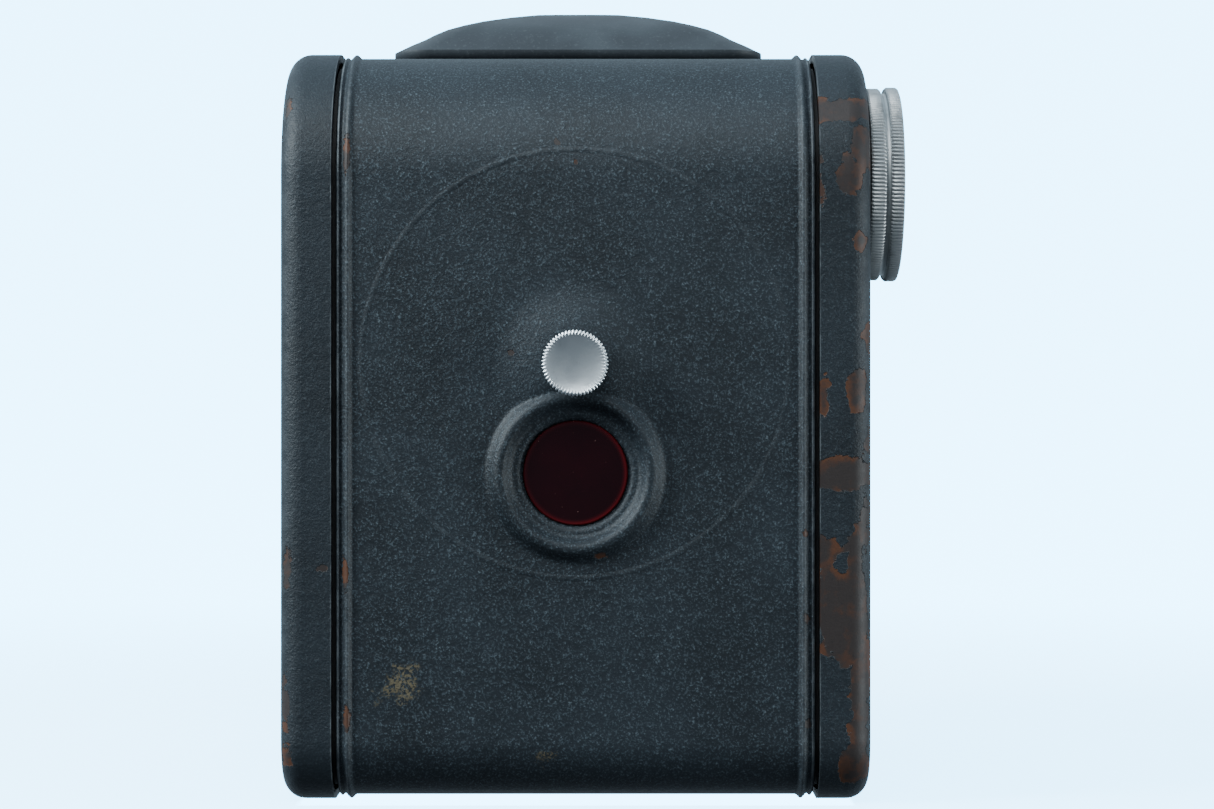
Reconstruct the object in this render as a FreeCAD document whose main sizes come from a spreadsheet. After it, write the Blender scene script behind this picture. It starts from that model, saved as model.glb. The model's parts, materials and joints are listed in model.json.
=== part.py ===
import FreeCAD, Part
import os

import Sketcher

# A pressed-metal roll-film camera with a reflecting finder. Millimetres, +Z up, +X towards the winding
# knob, +Y towards the lens. The origin is the mouth of the tripod socket, in the middle of the base.
# A tool that cuts a piece runs on 1 mm past the faces that it cuts.

SIZES = {
    # how deep a tool goes to cut through one sheet
    "cut_depth": 6.0,
    # outline of the side covers
    "body_depth": 88.0,
    "body_height": 108.4,
    "cheek_outer": 42.0,
    "cheek_inner": 34.6,
    "cheek_gauge": 1.2,
    "cheek_edge": 3.2,
    "back_top_radius": 19.0,
    "corner_radius": 9.0,
    # sheet between the side covers: the door behind and the shell in front
    "door_half": 34.0,
    "sheet_step": 0.6,
    "sheet_gauge": 0.9,
    "door_lip": 17.0,
    "bead_inner": 31.9,
    "bead_outer": 33.0,
    "bead_step": 0.05,
    "sheet_gap": 0.6,
    "tongue_reach": 5.0,
    "tongue_lap": 2.0,
    "tongue_side": 1.0,
    "tongue_gauge": 0.6,
    # side plates
    "plate_gauge": 1.2,
    "plate_drop": 2.0,
    "post_radius": 2.2,
    "screw_radius": 1.0,
    "screw_head": 2.0,
    "head_height": 0.6,
    "screw_grip": 4.0,
    # door hinge and catch
    "hinge_depth": 23.0,
    "hinge_height": 1.9,
    "knuckle_radius": 1.7,
    "hinge_pin": 0.8,
    "hinge_pin_half": 33.0,
    "hinge_relief": 2.5,
    "running_gap": 0.06,
    "catch_depth": 33.0,
    "catch_height": 103.0,
    "catch_pin": 0.8,
    "catch_room": 0.5,
    "clip_gauge": 0.4,
    "clip_inner": 31.2,
    "clip_reach": 1.4,
    "clip_back": 1.8,
    "solder_gap": 0.05,
    # blind, window and their pressings
    "blind_height": 62.6,
    "emboss_radius": 30.4,
    "emboss_rise": 0.3,
    "boss_base": 7.0,
    "boss_top": 5.1,
    "boss_rise": 1.4,
    "blind_knob_radius": 4.7,
    "blind_knob_length": 4.1,
    "blind_knob_edge": 0.3,
    "blind_knob_lip": 0.6,
    "blind_dish": 0.5,
    "blind_dish_flat": 1.6,
    "spindle_radius": 1.5,
    "disc_radius": 26.0,
    "disc_gauge": 0.4,
    "disc_gap": 0.3,
    "eye_room": 0.6,
    "window_height": 47.1,
    "window_radius": 7.4,
    "ring_base": 13.3,
    "ring_crest_outer": 11.5,
    "ring_crest_inner": 10.3,
    "ring_foot": 8.4,
    "ring_rise": 1.7,
    # film path
    "film_plane": 40.0,
    "lens_height": 51.0,
    "gate_half": 27.5,
    "gate_frame": 30.0,
    "gate_gauge": 1.0,
    "rail_inner": 29.0,
    "rail_outer": 31.0,
    "rail_rise": 1.0,
    "roller_radius": 1.6,
    "roller_offset": 32.0,
    "roller_half": 32.6,
    "roller_pin": 0.7,
    "plate_clear": 0.4,
    "pressure_gauge": 0.8,
    "pressure_half": 26.0,
    "leaf_offset": 29.0,
    "leaf_width": 2.8,
    "leaf_gauge": 0.3,
    "leaf_foot": 3.0,
    "leaf_reach": 18.0,
    "cone_front": 34.0,
    "cone_mouth": 8.0,
    "cone_gauge": 1.0,
    # spools
    "winder_depth": 25.0,
    "winder_height": 89.3,
    "spool_half": 32.6,
    "spool_flange": 12.3,
    "spool_core": 4.5,
    "flange_gauge": 1.0,
    "spool_end": 6.0,
    "spool_slot": 4.4,
    "spool_gap": 0.4,
    "key_width": 4.8,
    "key_gauge": 1.2,
    "key_room": 0.3,
    "key_length": 4.2,
    "shaft_radius": 2.5,
    "bush_radius": 4.5,
    "pivot_radius": 2.4,
    "pivot_bore": 2.48,
    "pivot_reach": 3.8,
    "pivot_flange": 5.0,
    "pivot_gauge": 0.4,
    "supply_depth": 20.0,
    "supply_height": 14.0,
    "brake_offset": 12.0,
    "brake_width": 4.6,
    "brake_gauge": 0.4,
    "brake_lift": 1.2,
    "brake_front": 2.0,
    "brake_bend": 8.0,
    "brake_back": 12.0,
    # winding knob
    "knob_radius": 14.3,
    "knob_start": 42.3,
    "knob_inner_end": 44.6,
    "knob_groove_end": 45.2,
    "knob_end": 47.2,
    "knob_groove": 0.8,
    "knob_edge": 0.35,
    "knob_face": 9.0,
    "knob_hollow": 1.0,
    "spring_wire": 0.4,
    "spring_room": 0.6,
    # finder
    "finder_height": 88.0,
    "finder_half": 22.0,
    "finder_back": 10.5,
    "finder_floor": 73.5,
    "finder_gauge": 1.0,
    "objective_radius": 11.8,
    "objective_room": 0.4,
    "bezel_radius": 14.0,
    "bezel_front": 46.6,
    "mirror_gauge": 1.5,
    "mirror_length": 42.0,
    "mirror_room": 0.4,
    "mirror_depth": 9.5,
    "mirror_lift": 2.6,
    "field_half": 20.0,
    "field_back": 6.0,
    "field_front": 29.5,
    "field_gauge": 2.2,
    "field_room": 0.5,
    "field_drop": 0.3,
    "frame_half": 26.5,
    "frame_back": 9.8,
    "frame_front": 31.5,
    "frame_top": 110.2,
    # lid
    "lid_half": 28.3,
    "lid_back": 12.0,
    "lid_front": 33.0,
    "lid_foot": 110.6,
    "lid_skirt": 111.2,
    "lid_shoulder": 115.4,
    "lid_peak": 119.4,
    "lid_slope": 6.5,
    "lid_gauge": 0.9,
    "lid_crown": 50.0,
    "lid_knuckle_half": 11.7,
    "lid_lug_inner": 12.0,
    "lid_lug_outer": 15.0,
    "lid_hinge_depth": 34.9,
    "lid_hinge_height": 111.0,
    "lid_knuckle": 1.4,
    "lid_pin": 0.6,
    # lens and shutter
    "mount_flange": 19.0,
    "mount_barrel": 16.5,
    "mount_front": 51.0,
    "mount_lip": 3.0,
    "glass_radius": 7.0,
    "ring_radius": 9.5,
    "shutter_half": 24.0,
    "shutter_gauge": 1.2,
    "aperture_radius": 4.0,
    "shutter_post": 2.0,
    "sector_offset": 12.0,
    "sector_radius": 17.0,
    "sector_gauge": 0.5,
    "pin_radius": 1.0,
    "lever_offset": 14.0,
    "lever_height": 60.0,
    "lever_reach": 13.0,
    "lever_front": 48.5,
    "lever_gauge": 0.8,
    "lever_half": 1.4,
    "lever_hub": 2.6,
    "thumb_reach": 4.0,
    "thumb_half": 2.2,
    "slot_inner": 9.3,
    "slot_outer": 14.8,
    "slot_drop": 9.0,
    "slot_rise": 3.0,
    "selector_offset": 27.0,
    "selector_front": 46.5,
    "selector_slot": 1.4,
    "selector_tab": 0.9,
    "selector_strip": 2.4,
    "selector_gauge": 1.0,
    "selector_gap": 0.5,
    "selector_low": 8.0,
    "selector_high": 4.0,
    "tab_low": 3.0,
    "tab_high": 1.0,
    "guide_half": 4.2,
    "guide_depth": 2.8,
    "guide_low": 6.5,
    "guide_high": 4.5,
    "guide_room": 0.3,
    # tripod socket
    "socket_radius": 3.1,
    "socket_depth": 6.0,
    "socket_boss": 5.0,
    "socket_height": 7.5,
    "socket_flange": 9.0,
}

BACK = "-dims.body_depth / 2"
FRONT = "dims.body_depth / 2"
TOP = "dims.body_height"
DOOR_BACK = f"({BACK} + dims.sheet_step)"
DOOR_INSIDE = f"({DOOR_BACK} + dims.sheet_gauge)"
SHELL_FRONT = f"({FRONT} - dims.sheet_step)"
SHELL_INSIDE = f"({SHELL_FRONT} - dims.sheet_gauge)"
BASE_SHEET = "dims.sheet_step"
BASE_INSIDE = "(dims.sheet_step + dims.sheet_gauge)"
TOP_SHEET = f"({TOP} - dims.sheet_step)"
TOP_INSIDE = f"({TOP_SHEET} - dims.sheet_gauge)"
CHAMBER_HALF = "(dims.cheek_inner - dims.plate_gauge)"
DOOR_BEND = (f"({BACK} + dims.back_top_radius)", f"({TOP} - dims.back_top_radius)")
DOOR_BEND_INSIDE = f"(dims.back_top_radius - {BASE_INSIDE})"
EMBOSS = f"({DOOR_BACK} - dims.emboss_rise)"
BOSS = f"({EMBOSS} - dims.boss_rise)"

POST_PLACES = ((-34, 14), (34, 14), (34, 94), (-34, 66))
SHUTTER_POSTS = ((-21, 19), (21, 19), (-21, -19), (21, -19))
DOOR_KNUCKLES = (("-16", "-6"), ("6", "16"))
SHELL_KNUCKLES = (("-33.4", "-16.3"), ("-5.7", "5.7"), ("16.3", "33.4"))
SIDES = {"left": -1, "right": 1}
CLOSE = 0.02

TURNS = {
    "x": FreeCAD.Rotation(FreeCAD.Vector(0, 1, 0), 90),
    "y": FreeCAD.Rotation(FreeCAD.Vector(1, 0, 0), -90),
    "z": FreeCAD.Rotation(),
}
SPUN = {
    "x": FreeCAD.Rotation(FreeCAD.Vector(0, 0, 1), -90),
    "y": FreeCAD.Rotation(),
    "z": FreeCAD.Rotation(FreeCAD.Vector(1, 0, 0), 90),
}

doc = FreeCAD.newDocument("box_camera")
sheet = doc.addObject("Spreadsheet::Sheet", "dims")
for row, (alias, size) in enumerate(SIZES.items(), start=1):
    sheet.set(f"A{row}", alias)
    sheet.set(f"B{row}", str(size))
    sheet.setAlias(f"B{row}", alias)
doc.recompute()

nodes = []


def value(expression):
    """The number that an expression on the sheet gives."""
    result = sheet.evalExpression(str(expression))
    return float(getattr(result, "Value", result))


def bind(thing, path, expression):
    thing.setExpression(path, str(expression))


def node(label, thing):
    """Name a finished piece and list it for writing."""
    thing.Label = label
    nodes.append(thing)
    return thing


def about(centre, half):
    """The two ends of a stretch with a half width about a centre."""
    return f"{centre} - ({half})", f"{centre} + ({half})"


def beside(sign, near, far):
    """The two ends, in rising order, of a stretch on one side of the middle."""
    return tuple(sorted((f"{sign} * ({near})", f"{sign} * ({far})"), key=value))


# ---- primitives and booleans ----

def box(name, x, y, z):
    """A block between two values on each axis."""
    solid = doc.addObject("Part::Box", name)
    for size, axis, (low, high) in zip(("Length", "Width", "Height"), "xyz", (x, y, z)):
        bind(solid, size, f"({high}) - ({low})")
        bind(solid, f"Placement.Base.{axis}", low)
    return solid


def rod(name, axis, centre, low, high, radius):
    """A cylinder along an axis; centre gives the other two coordinates in order."""
    solid = doc.addObject("Part::Cylinder", name)
    solid.Placement.Rotation = TURNS[axis]
    bind(solid, "Radius", radius)
    bind(solid, "Height", f"({high}) - ({low})")
    bind(solid, f"Placement.Base.{axis}", low)
    for other, place in zip([letter for letter in "xyz" if letter != axis], centre):
        bind(solid, f"Placement.Base.{other}", place)
    return solid


def fuse(name, parts):
    result = doc.addObject("Part::MultiFuse", name)
    result.Shapes = parts
    result.Refine = True
    return result


def cut(name, base, tools):
    result = doc.addObject("Part::Cut", name)
    result.Base = base
    result.Tool = tools[0] if len(tools) == 1 else fuse(f"{name}_tools", tools)
    return result


def group(name, parts):
    """Separate solids that share one node."""
    result = doc.addObject("Part::Compound", name)
    result.Links = parts
    return result


def coil(name, axis, centre, low, high, radius, turns):
    """A close helical spring along an axis."""
    spine = doc.addObject("Part::Helix", f"{name}_spine")
    bind(spine, "Radius", radius)
    bind(spine, "Height", f"({high}) - ({low})")
    bind(spine, "Pitch", f"(({high}) - ({low})) / {turns}")
    wire = doc.addObject("Part::Circle", f"{name}_wire")
    bind(wire, "Radius", "dims.spring_wire")
    bind(wire, "Placement.Base.x", radius)
    wire.Placement.Rotation = FreeCAD.Rotation(FreeCAD.Vector(1, 0, 0), 90)
    spring = doc.addObject("Part::Sweep", name)
    spring.Sections = [wire]
    spring.Spine = (spine, ["Edge1"])
    spring.Solid = True
    spring.Frenet = True
    spring.Placement.Rotation = TURNS[axis]
    bind(spring, f"Placement.Base.{axis}", low)
    for other, place in zip([letter for letter in "xyz" if letter != axis], centre):
        bind(spring, f"Placement.Base.{other}", place)
    return spring


# ---- bodies made of sketches and features ----

def new_body(name):
    return doc.addObject("PartDesign::Body", name)


def drawing(body, plane, at):
    """An empty sketch on one of the body's origin planes, moved to a value on that plane's axis."""
    sketch = body.newObject("Sketcher::SketchObject", f"{body.Name}_sketch")
    support = [plane_ for plane_ in body.Origin.OriginFeatures if plane_.Role == plane][0]
    sketch.AttachmentSupport = [(support, "")]
    sketch.MapMode = "FlatFace"
    sign = "-" if plane == "XZ_Plane" else ""
    bind(sketch, "AttachmentOffset.Base.z", f"{sign}({at})")
    return sketch


def hold(sketch, geometry, point, across, up):
    """Tie one point of a sketch to its two coordinates."""
    for kind, line, expression in (("DistanceX", -2, across), ("DistanceY", -1, up)):
        if str(expression) == "0":
            sketch.addConstraint(Sketcher.Constraint("PointOnObject", geometry, point, line))
        else:
            index = sketch.addConstraint(
                Sketcher.Constraint(kind, -1, 1, geometry, point, value(expression)))
            bind(sketch, f"Constraints[{index}]", expression)


def outline(body, plane, at, points, rounds=None):
    """A closed sketch of lines through points given as expressions; rounds gives radii by corner."""
    sketch = drawing(body, plane, at)
    corners = [FreeCAD.Vector(value(across), value(up), 0) for across, up in points]
    count = len(corners)
    for index in range(count):
        sketch.addGeometry(Part.LineSegment(corners[index], corners[(index + 1) % count]))
    for index in range(count):
        sketch.addConstraint(Sketcher.Constraint("Coincident", index, 2, (index + 1) % count, 1))
    for index, (across, up) in enumerate(points):
        hold(sketch, index, 1, across, up)
    for index, radius in (rounds or {}).items():
        arc = sketch.GeometryCount
        sketch.fillet(index, 1, value(radius), True, True)
        limit = sketch.addConstraint(Sketcher.Constraint("Radius", arc, value(radius)))
        bind(sketch, f"Constraints[{limit}]", radius)
    return sketch


def rectangle(body, plane, at, across, up, rounds=None):
    """A rectangle; its corners count from 0 at low left, anticlockwise."""
    (left, right), (low, high) = across, up
    points = [(left, low), (right, low), (right, high), (left, high)]
    return outline(body, plane, at, points, rounds)


def back_rounds(drop):
    """Radii of the two back corners, for a sheet that lies a distance inside the side covers."""
    return {0: f"dims.corner_radius - {drop}", 3: f"dims.back_top_radius - {drop}"}


def front_rounds(drop):
    """Radii of the two front corners."""
    return {1: f"dims.corner_radius - {drop}", 2: f"dims.corner_radius - {drop}"}


def circles(body, plane, at, places, radius):
    """Equal circles at the given centres."""
    sketch = drawing(body, plane, at)
    for across, up in places:
        centre = FreeCAD.Vector(value(across), value(up), 0)
        index = sketch.addGeometry(Part.Circle(centre, FreeCAD.Vector(0, 0, 1), value(radius)))
        hold(sketch, index, 3, across, up)
        limit = sketch.addConstraint(Sketcher.Constraint("Radius", index, value(radius)))
        bind(sketch, f"Constraints[{limit}]", radius)
    return sketch


def pad(body, sketch, length, reverse=False):
    feature = body.newObject("PartDesign::Pad", f"{body.Name}_pad")
    feature.Profile = sketch
    bind(feature, "Length", length)
    feature.Reversed = reverse
    doc.recompute()
    return feature


def pocket(body, sketch, length, reverse=False):
    """Cut a sketch away, and stop if nothing was removed."""
    before = body.Shape.Volume
    feature = body.newObject("PartDesign::Pocket", f"{body.Name}_pocket")
    feature.Profile = sketch
    bind(feature, "Length", length)
    feature.Reversed = reverse
    doc.recompute()
    if body.Shape.Volume > before - 1e-6:
        raise RuntimeError(f"a pocket of {body.Name} removes nothing")
    return feature


def round_edges(body, radius, wanted):
    """Fillet the edges of the body's last feature that pass a test."""
    base = body.Tip
    names = [f"Edge{index}" for index, edge in enumerate(base.Shape.Edges, start=1) if wanted(edge)]
    feature = body.newObject("PartDesign::Fillet", f"{body.Name}_fillet")
    feature.Base = (base, names)
    bind(feature, "Radius", radius)
    doc.recompute()
    return feature


def on_side(distance):
    """Test for an edge that lies in the plane X = distance."""
    plane = value(distance)

    def test(edge):
        bounds = edge.BoundBox
        return abs(bounds.XMin - plane) < CLOSE and abs(bounds.XMax - plane) < CLOSE
    return test


def thin(body, gauge, normal, place):
    """Hollow the body to a gauge, open at its face with the given normal through a place."""
    base = body.Tip
    for index, face in enumerate(base.Shape.Faces, start=1):
        plane = face.Surface
        flat = isinstance(plane, Part.Plane) and abs(abs(plane.Axis.dot(normal)) - 1) < 1e-6
        if flat and abs((face.CenterOfMass - place).dot(normal)) < CLOSE:
            opening = f"Face{index}"
    feature = body.newObject("PartDesign::Thickness", f"{body.Name}_thickness")
    feature.Base = (base, [opening])
    bind(feature, "Value", gauge)
    feature.Reversed = True
    doc.recompute()
    return feature


def turned(name, axis, centre, profile):
    """A piece turned on a lathe: profile points are (distance along the axis, radius)."""
    body = new_body(name)
    sketch = outline(body, "XY_Plane", 0, [(radius, along) for along, radius in profile])
    feature = body.newObject("PartDesign::Revolution", f"{name}_turned")
    feature.Profile = sketch
    feature.ReferenceAxis = (sketch, ["V_Axis"])
    feature.Angle = 360
    body.Placement.Rotation = SPUN[axis]
    for other, place in zip([letter for letter in "xyz" if letter != axis], centre):
        bind(body, f"Placement.Base.{other}", place)
    doc.recompute()
    return body


def spun_boss(body, height, profile):
    """Add a ring to a body, spun about a line along Y at a height; points are (depth, radius)."""
    sketch = outline(body, "YZ_Plane", 0, [(depth, f"{height} + {radius}") for depth, radius in profile])
    start = FreeCAD.Vector(value(DOOR_BACK), value(height), 0)
    axis = sketch.addGeometry(Part.LineSegment(start, start + FreeCAD.Vector(1, 0, 0)), True)
    hold(sketch, axis, 1, DOOR_BACK, height)
    hold(sketch, axis, 2, f"{DOOR_BACK} + 1", height)
    feature = body.newObject("PartDesign::Revolution", f"{body.Name}_ring")
    feature.Profile = sketch
    feature.ReferenceAxis = (sketch, ["Axis0"])
    feature.Angle = 360
    doc.recompute()
    return feature


# ---- the case ----

def make_cheek(side, sign):
    """A pressed side cover: a pan with a rolled outer edge, open towards the middle."""
    body = new_body(f"{side}_cheek")
    inner = f"{sign} * dims.cheek_inner"
    outer = f"{sign} * dims.cheek_outer"
    rounds = back_rounds("0") | front_rounds("0")
    face = rectangle(body, "YZ_Plane", inner, (BACK, FRONT), ("0", TOP), rounds)
    pad(body, face, "dims.cheek_outer - dims.cheek_inner", reverse=sign < 0)
    round_edges(body, "dims.cheek_edge", on_side(outer))
    thin(body, "dims.cheek_gauge", FreeCAD.Vector(1, 0, 0), FreeCAD.Vector(value(inner), 0, 0))
    heads = circles(body, "YZ_Plane", outer, POST_PLACES, "dims.screw_head + dims.running_gap")
    pocket(body, heads, "dims.head_height", reverse=sign < 0)
    holes = circles(body, "YZ_Plane", outer, POST_PLACES, "dims.screw_radius + dims.running_gap")
    pocket(body, holes, "dims.cheek_gauge + 1", reverse=sign < 0)
    if sign > 0:
        place = [("-dims.winder_depth", "dims.winder_height")]
        bore = circles(body, "YZ_Plane", outer, place, "dims.bush_radius")
        pocket(body, bore, "dims.cheek_gauge + 1")
    node(f"{side}_cheek", body)


def make_side_plate(side, sign):
    """An inner wall of the film chamber, with four posts that carry the side cover."""
    body = new_body(f"{side}_side_plate")
    outer = f"{sign} * dims.cheek_inner"
    drop = "dims.plate_drop"
    back_face = rectangle(body, "YZ_Plane", outer, (f"{BACK} + {drop}", "0"), (drop, f"{TOP} - {drop}"),
                          back_rounds(drop))
    pad(body, back_face, "dims.plate_gauge", reverse=sign > 0)
    front_face = rectangle(body, "YZ_Plane", outer, ("-15", SHELL_INSIDE), (BASE_INSIDE, TOP_INSIDE),
                           front_rounds(BASE_INSIDE))
    pad(body, front_face, "dims.plate_gauge", reverse=sign > 0)
    posts = circles(body, "YZ_Plane", outer, POST_PLACES, "dims.post_radius")
    pad(body, posts, "dims.cheek_outer - dims.cheek_gauge - dims.cheek_inner", reverse=sign < 0)
    tip = f"{sign} * (dims.cheek_outer - dims.cheek_gauge)"
    threads = circles(body, "YZ_Plane", tip, POST_PLACES, "dims.screw_radius + dims.running_gap")
    pocket(body, threads, "dims.cheek_outer - dims.cheek_gauge - dims.cheek_inner", reverse=sign < 0)
    if sign > 0:
        place = [("-dims.winder_depth", "dims.winder_height")]
        pocket(body, circles(body, "YZ_Plane", outer, place, "dims.bush_radius"), "dims.plate_gauge + 1")
    node(f"{side}_side_plate", body)


def make_cheek_screws():
    """Flat-head screws that hold the side covers to the posts."""
    screws = []
    for side, sign in SIDES.items():
        for index, (depth, height) in enumerate(POST_PLACES):
            ends = ["dims.cheek_outer - dims.head_height", "dims.cheek_outer"]
            tip = "dims.cheek_outer - dims.head_height - dims.screw_grip"
            head = ends if sign > 0 else [f"-({ends[1]})", f"-({ends[0]})"]
            shank = [tip, ends[0]] if sign > 0 else [f"-({ends[0]})", f"-({tip})"]
            name = f"screw_{side}_{index}"
            screws.append(fuse(name, [
                rod(f"{name}_head", "x", (depth, height), head[0], head[1], "dims.screw_head"),
                rod(f"{name}_shank", "x", (depth, height), shank[0], shank[1], "dims.screw_radius"),
            ]))
    node("cheek_screws", group("cheek_screws", screws))


def add_knuckles(body, spans, sheet_end):
    """Hinge knuckles on the base line, each joined to its sheet by a short web."""
    centre = [("-dims.hinge_depth", "dims.hinge_height")]
    for low, high in spans:
        barrel = circles(body, "YZ_Plane", low, centre, "dims.knuckle_radius")
        pad(body, barrel, f"({high}) - ({low})")
        reach = sorted((sheet_end, "-dims.hinge_depth"), key=value)
        web = rectangle(body, "YZ_Plane", low, reach, (BASE_SHEET, BASE_INSIDE))
        pad(body, web, f"({high}) - ({low})")
    bore = circles(body, "YZ_Plane", "dims.door_half", centre, "dims.hinge_pin + dims.running_gap")
    pocket(body, bore, "2 * dims.door_half")


def make_back_door():
    """The door: one sheet that wraps the back and both back corners, with beads along its edges."""
    body = new_body("back_door")
    half = "dims.door_half"
    width = f"2 * {half}"
    lip = "-dims.door_lip"
    block = rectangle(body, "YZ_Plane", f"-{half}", (DOOR_BACK, lip), (BASE_SHEET, TOP_SHEET),
                      back_rounds(BASE_SHEET))
    pad(body, block, width)
    step = "dims.bead_step"
    for start in ("dims.bead_inner", "-dims.bead_outer"):
        bead = rectangle(body, "YZ_Plane", start, (f"{BACK} + {step}", lip), (step, f"{TOP} - {step}"),
                         back_rounds(step))
        pad(body, bead, "dims.bead_outer - dims.bead_inner")
    emboss = circles(body, "XZ_Plane", DOOR_BACK, [("0", "dims.blind_height")], "dims.emboss_radius")
    pad(body, emboss, "dims.emboss_rise")
    spun_boss(body, "dims.blind_height", [
        (DOOR_INSIDE, "0"), (DOOR_INSIDE, "dims.boss_base"), (EMBOSS, "dims.boss_base"),
        (BOSS, "dims.boss_top"), (BOSS, "0"),
    ])
    crest = f"{DOOR_BACK} - dims.ring_rise"
    spun_boss(body, "dims.window_height", [
        (DOOR_INSIDE, "dims.ring_foot"), (DOOR_INSIDE, "dims.ring_base"), (DOOR_BACK, "dims.ring_base"),
        (crest, "dims.ring_crest_outer"), (crest, "dims.ring_crest_inner"), (DOOR_BACK, "dims.ring_foot"),
    ])
    inside = rectangle(body, "YZ_Plane", half, (DOOR_INSIDE, f"{lip} + 1"), (BASE_INSIDE, TOP_INSIDE),
                       back_rounds(BASE_INSIDE))
    pocket(body, inside, width)
    base_end = "-dims.hinge_depth - dims.hinge_relief"
    pocket(body, rectangle(body, "YZ_Plane", half, (base_end, f"{lip} + 1"), ("-1", "4")), width)
    eye = circles(body, "XZ_Plane", DOOR_INSIDE, [("0", "dims.window_height")],
                  "dims.window_radius + dims.running_gap")
    pocket(body, eye, "dims.cut_depth", reverse=True)
    bore = circles(body, "XZ_Plane", DOOR_INSIDE, [("0", "dims.blind_height")],
                   "dims.spindle_radius + dims.running_gap")
    pocket(body, bore, "dims.cut_depth", reverse=True)
    add_knuckles(body, DOOR_KNUCKLES, base_end)
    node("back_door", body)


def make_front_shell():
    """The fixed sheet: top, front and base in one wrap, with the openings for lens and finder."""
    body = new_body("front_shell")
    half = "dims.door_half"
    width = f"2 * {half}"
    start = "(dims.sheet_gap - dims.door_lip)"
    block = rectangle(body, "YZ_Plane", f"-{half}", (start, SHELL_FRONT), (BASE_SHEET, TOP_SHEET),
                      front_rounds(BASE_SHEET))
    pad(body, block, width)
    inside = rectangle(body, "YZ_Plane", half, (f"{start} - 1", SHELL_INSIDE), (BASE_INSIDE, TOP_INSIDE),
                       front_rounds(BASE_INSIDE))
    pocket(body, inside, width)
    base_start = "(dims.hinge_relief - dims.hinge_depth)"
    base = rectangle(body, "YZ_Plane", f"-{half}", (base_start, start), (BASE_SHEET, BASE_INSIDE))
    pad(body, base, width)
    tip = f"{start} - dims.tongue_reach"
    root = f"{start} + dims.tongue_lap"
    under = f"{TOP_INSIDE} - dims.catch_room"
    tongue = outline(body, "YZ_Plane", f"-{half} + dims.tongue_side", [
        (tip, f"{under} - dims.tongue_gauge"), (root, f"{under} - dims.tongue_gauge"), (root, TOP_INSIDE),
        (start, TOP_INSIDE), (start, under), (tip, under),
    ])
    pad(body, tongue, f"{width} - 2 * dims.tongue_side")
    ahead = f"{FRONT} + 1"
    for height, radius in (("dims.lens_height", "dims.mount_barrel - dims.mount_lip"),
                           ("dims.finder_height", "dims.objective_radius + dims.objective_room")):
        opening = circles(body, "XZ_Plane", ahead, [("0", height)], radius)
        pocket(body, opening, "dims.cut_depth", reverse=True)
    finder = rectangle(body, "XY_Plane", f"{TOP} + 1", about("0", "dims.field_half + dims.field_room"),
                       ("-dims.field_back - dims.field_room", "dims.field_front + dims.field_room"))
    pocket(body, finder, "dims.cut_depth")
    socket = circles(body, "XY_Plane", f"{BASE_INSIDE} + 1", [("0", "0")],
                     "dims.socket_boss + dims.solder_gap")
    pocket(body, socket, "dims.cut_depth")
    lever = rectangle(body, "XZ_Plane", ahead,
                      ("dims.lever_offset + dims.slot_inner", "dims.lever_offset + dims.slot_outer"),
                      ("dims.lever_height - dims.slot_drop", "dims.lever_height + dims.slot_rise"))
    pocket(body, lever, "dims.cut_depth", reverse=True)
    selector = rectangle(body, "XZ_Plane", ahead, about("-dims.selector_offset", "dims.selector_slot"),
                         ("dims.lens_height - dims.selector_high", "dims.lens_height + dims.selector_low"))
    pocket(body, selector, "dims.cut_depth", reverse=True)
    add_knuckles(body, SHELL_KNUCKLES, base_start)
    node("front_shell", body)


def make_door_fittings():
    """Hinge pin, catch studs on the side plates and the clips on the door that snap over them."""
    pin = rod("door_hinge_pin", "x", ("-dims.hinge_depth", "dims.hinge_height"), "-dims.hinge_pin_half",
              "dims.hinge_pin_half", "dims.hinge_pin")
    node("door_hinge_pin", pin)
    studs = []
    clips = []
    depth = "-dims.catch_depth"
    height = "dims.catch_height"
    room = "(dims.catch_pin + dims.catch_room)"
    for side, sign in SIDES.items():
        reach = beside(sign, "dims.clip_inner", CHAMBER_HALF)
        studs.append(rod(f"stud_{side}", "x", (depth, height), reach[0], reach[1], "dims.catch_pin"))
        span = beside(sign, "dims.clip_inner", "dims.bead_outer")
        low = (f"{height} - {room} - dims.clip_gauge", f"{height} - {room}")
        high = (f"{height} + {room}", f"{height} + {room} + dims.clip_gauge")
        tip = f"{depth} + dims.clip_reach"
        back = (f"{depth} - dims.clip_back - dims.clip_gauge", f"{depth} - dims.clip_back")
        blank = fuse(f"clip_blank_{side}", [
            box(f"clip_{side}_low", span, (BACK, tip), low),
            box(f"clip_{side}_back", span, back, (low[0], high[0])),
            box(f"clip_{side}_high", span, (BACK, tip), high),
        ])
        bend = rod(f"clip_bend_{side}", "x", DOOR_BEND, span[0], span[1],
                   f"{DOOR_BEND_INSIDE} - dims.solder_gap")
        clip = doc.addObject("Part::Common", f"clip_{side}")
        clip.Base = blank
        clip.Tool = bend
        clips.append(clip)
    node("catch_studs", group("catch_studs", studs))
    node("catch_clips", group("catch_clips", clips))


# ---- window, blind and pressure plate ----

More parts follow.
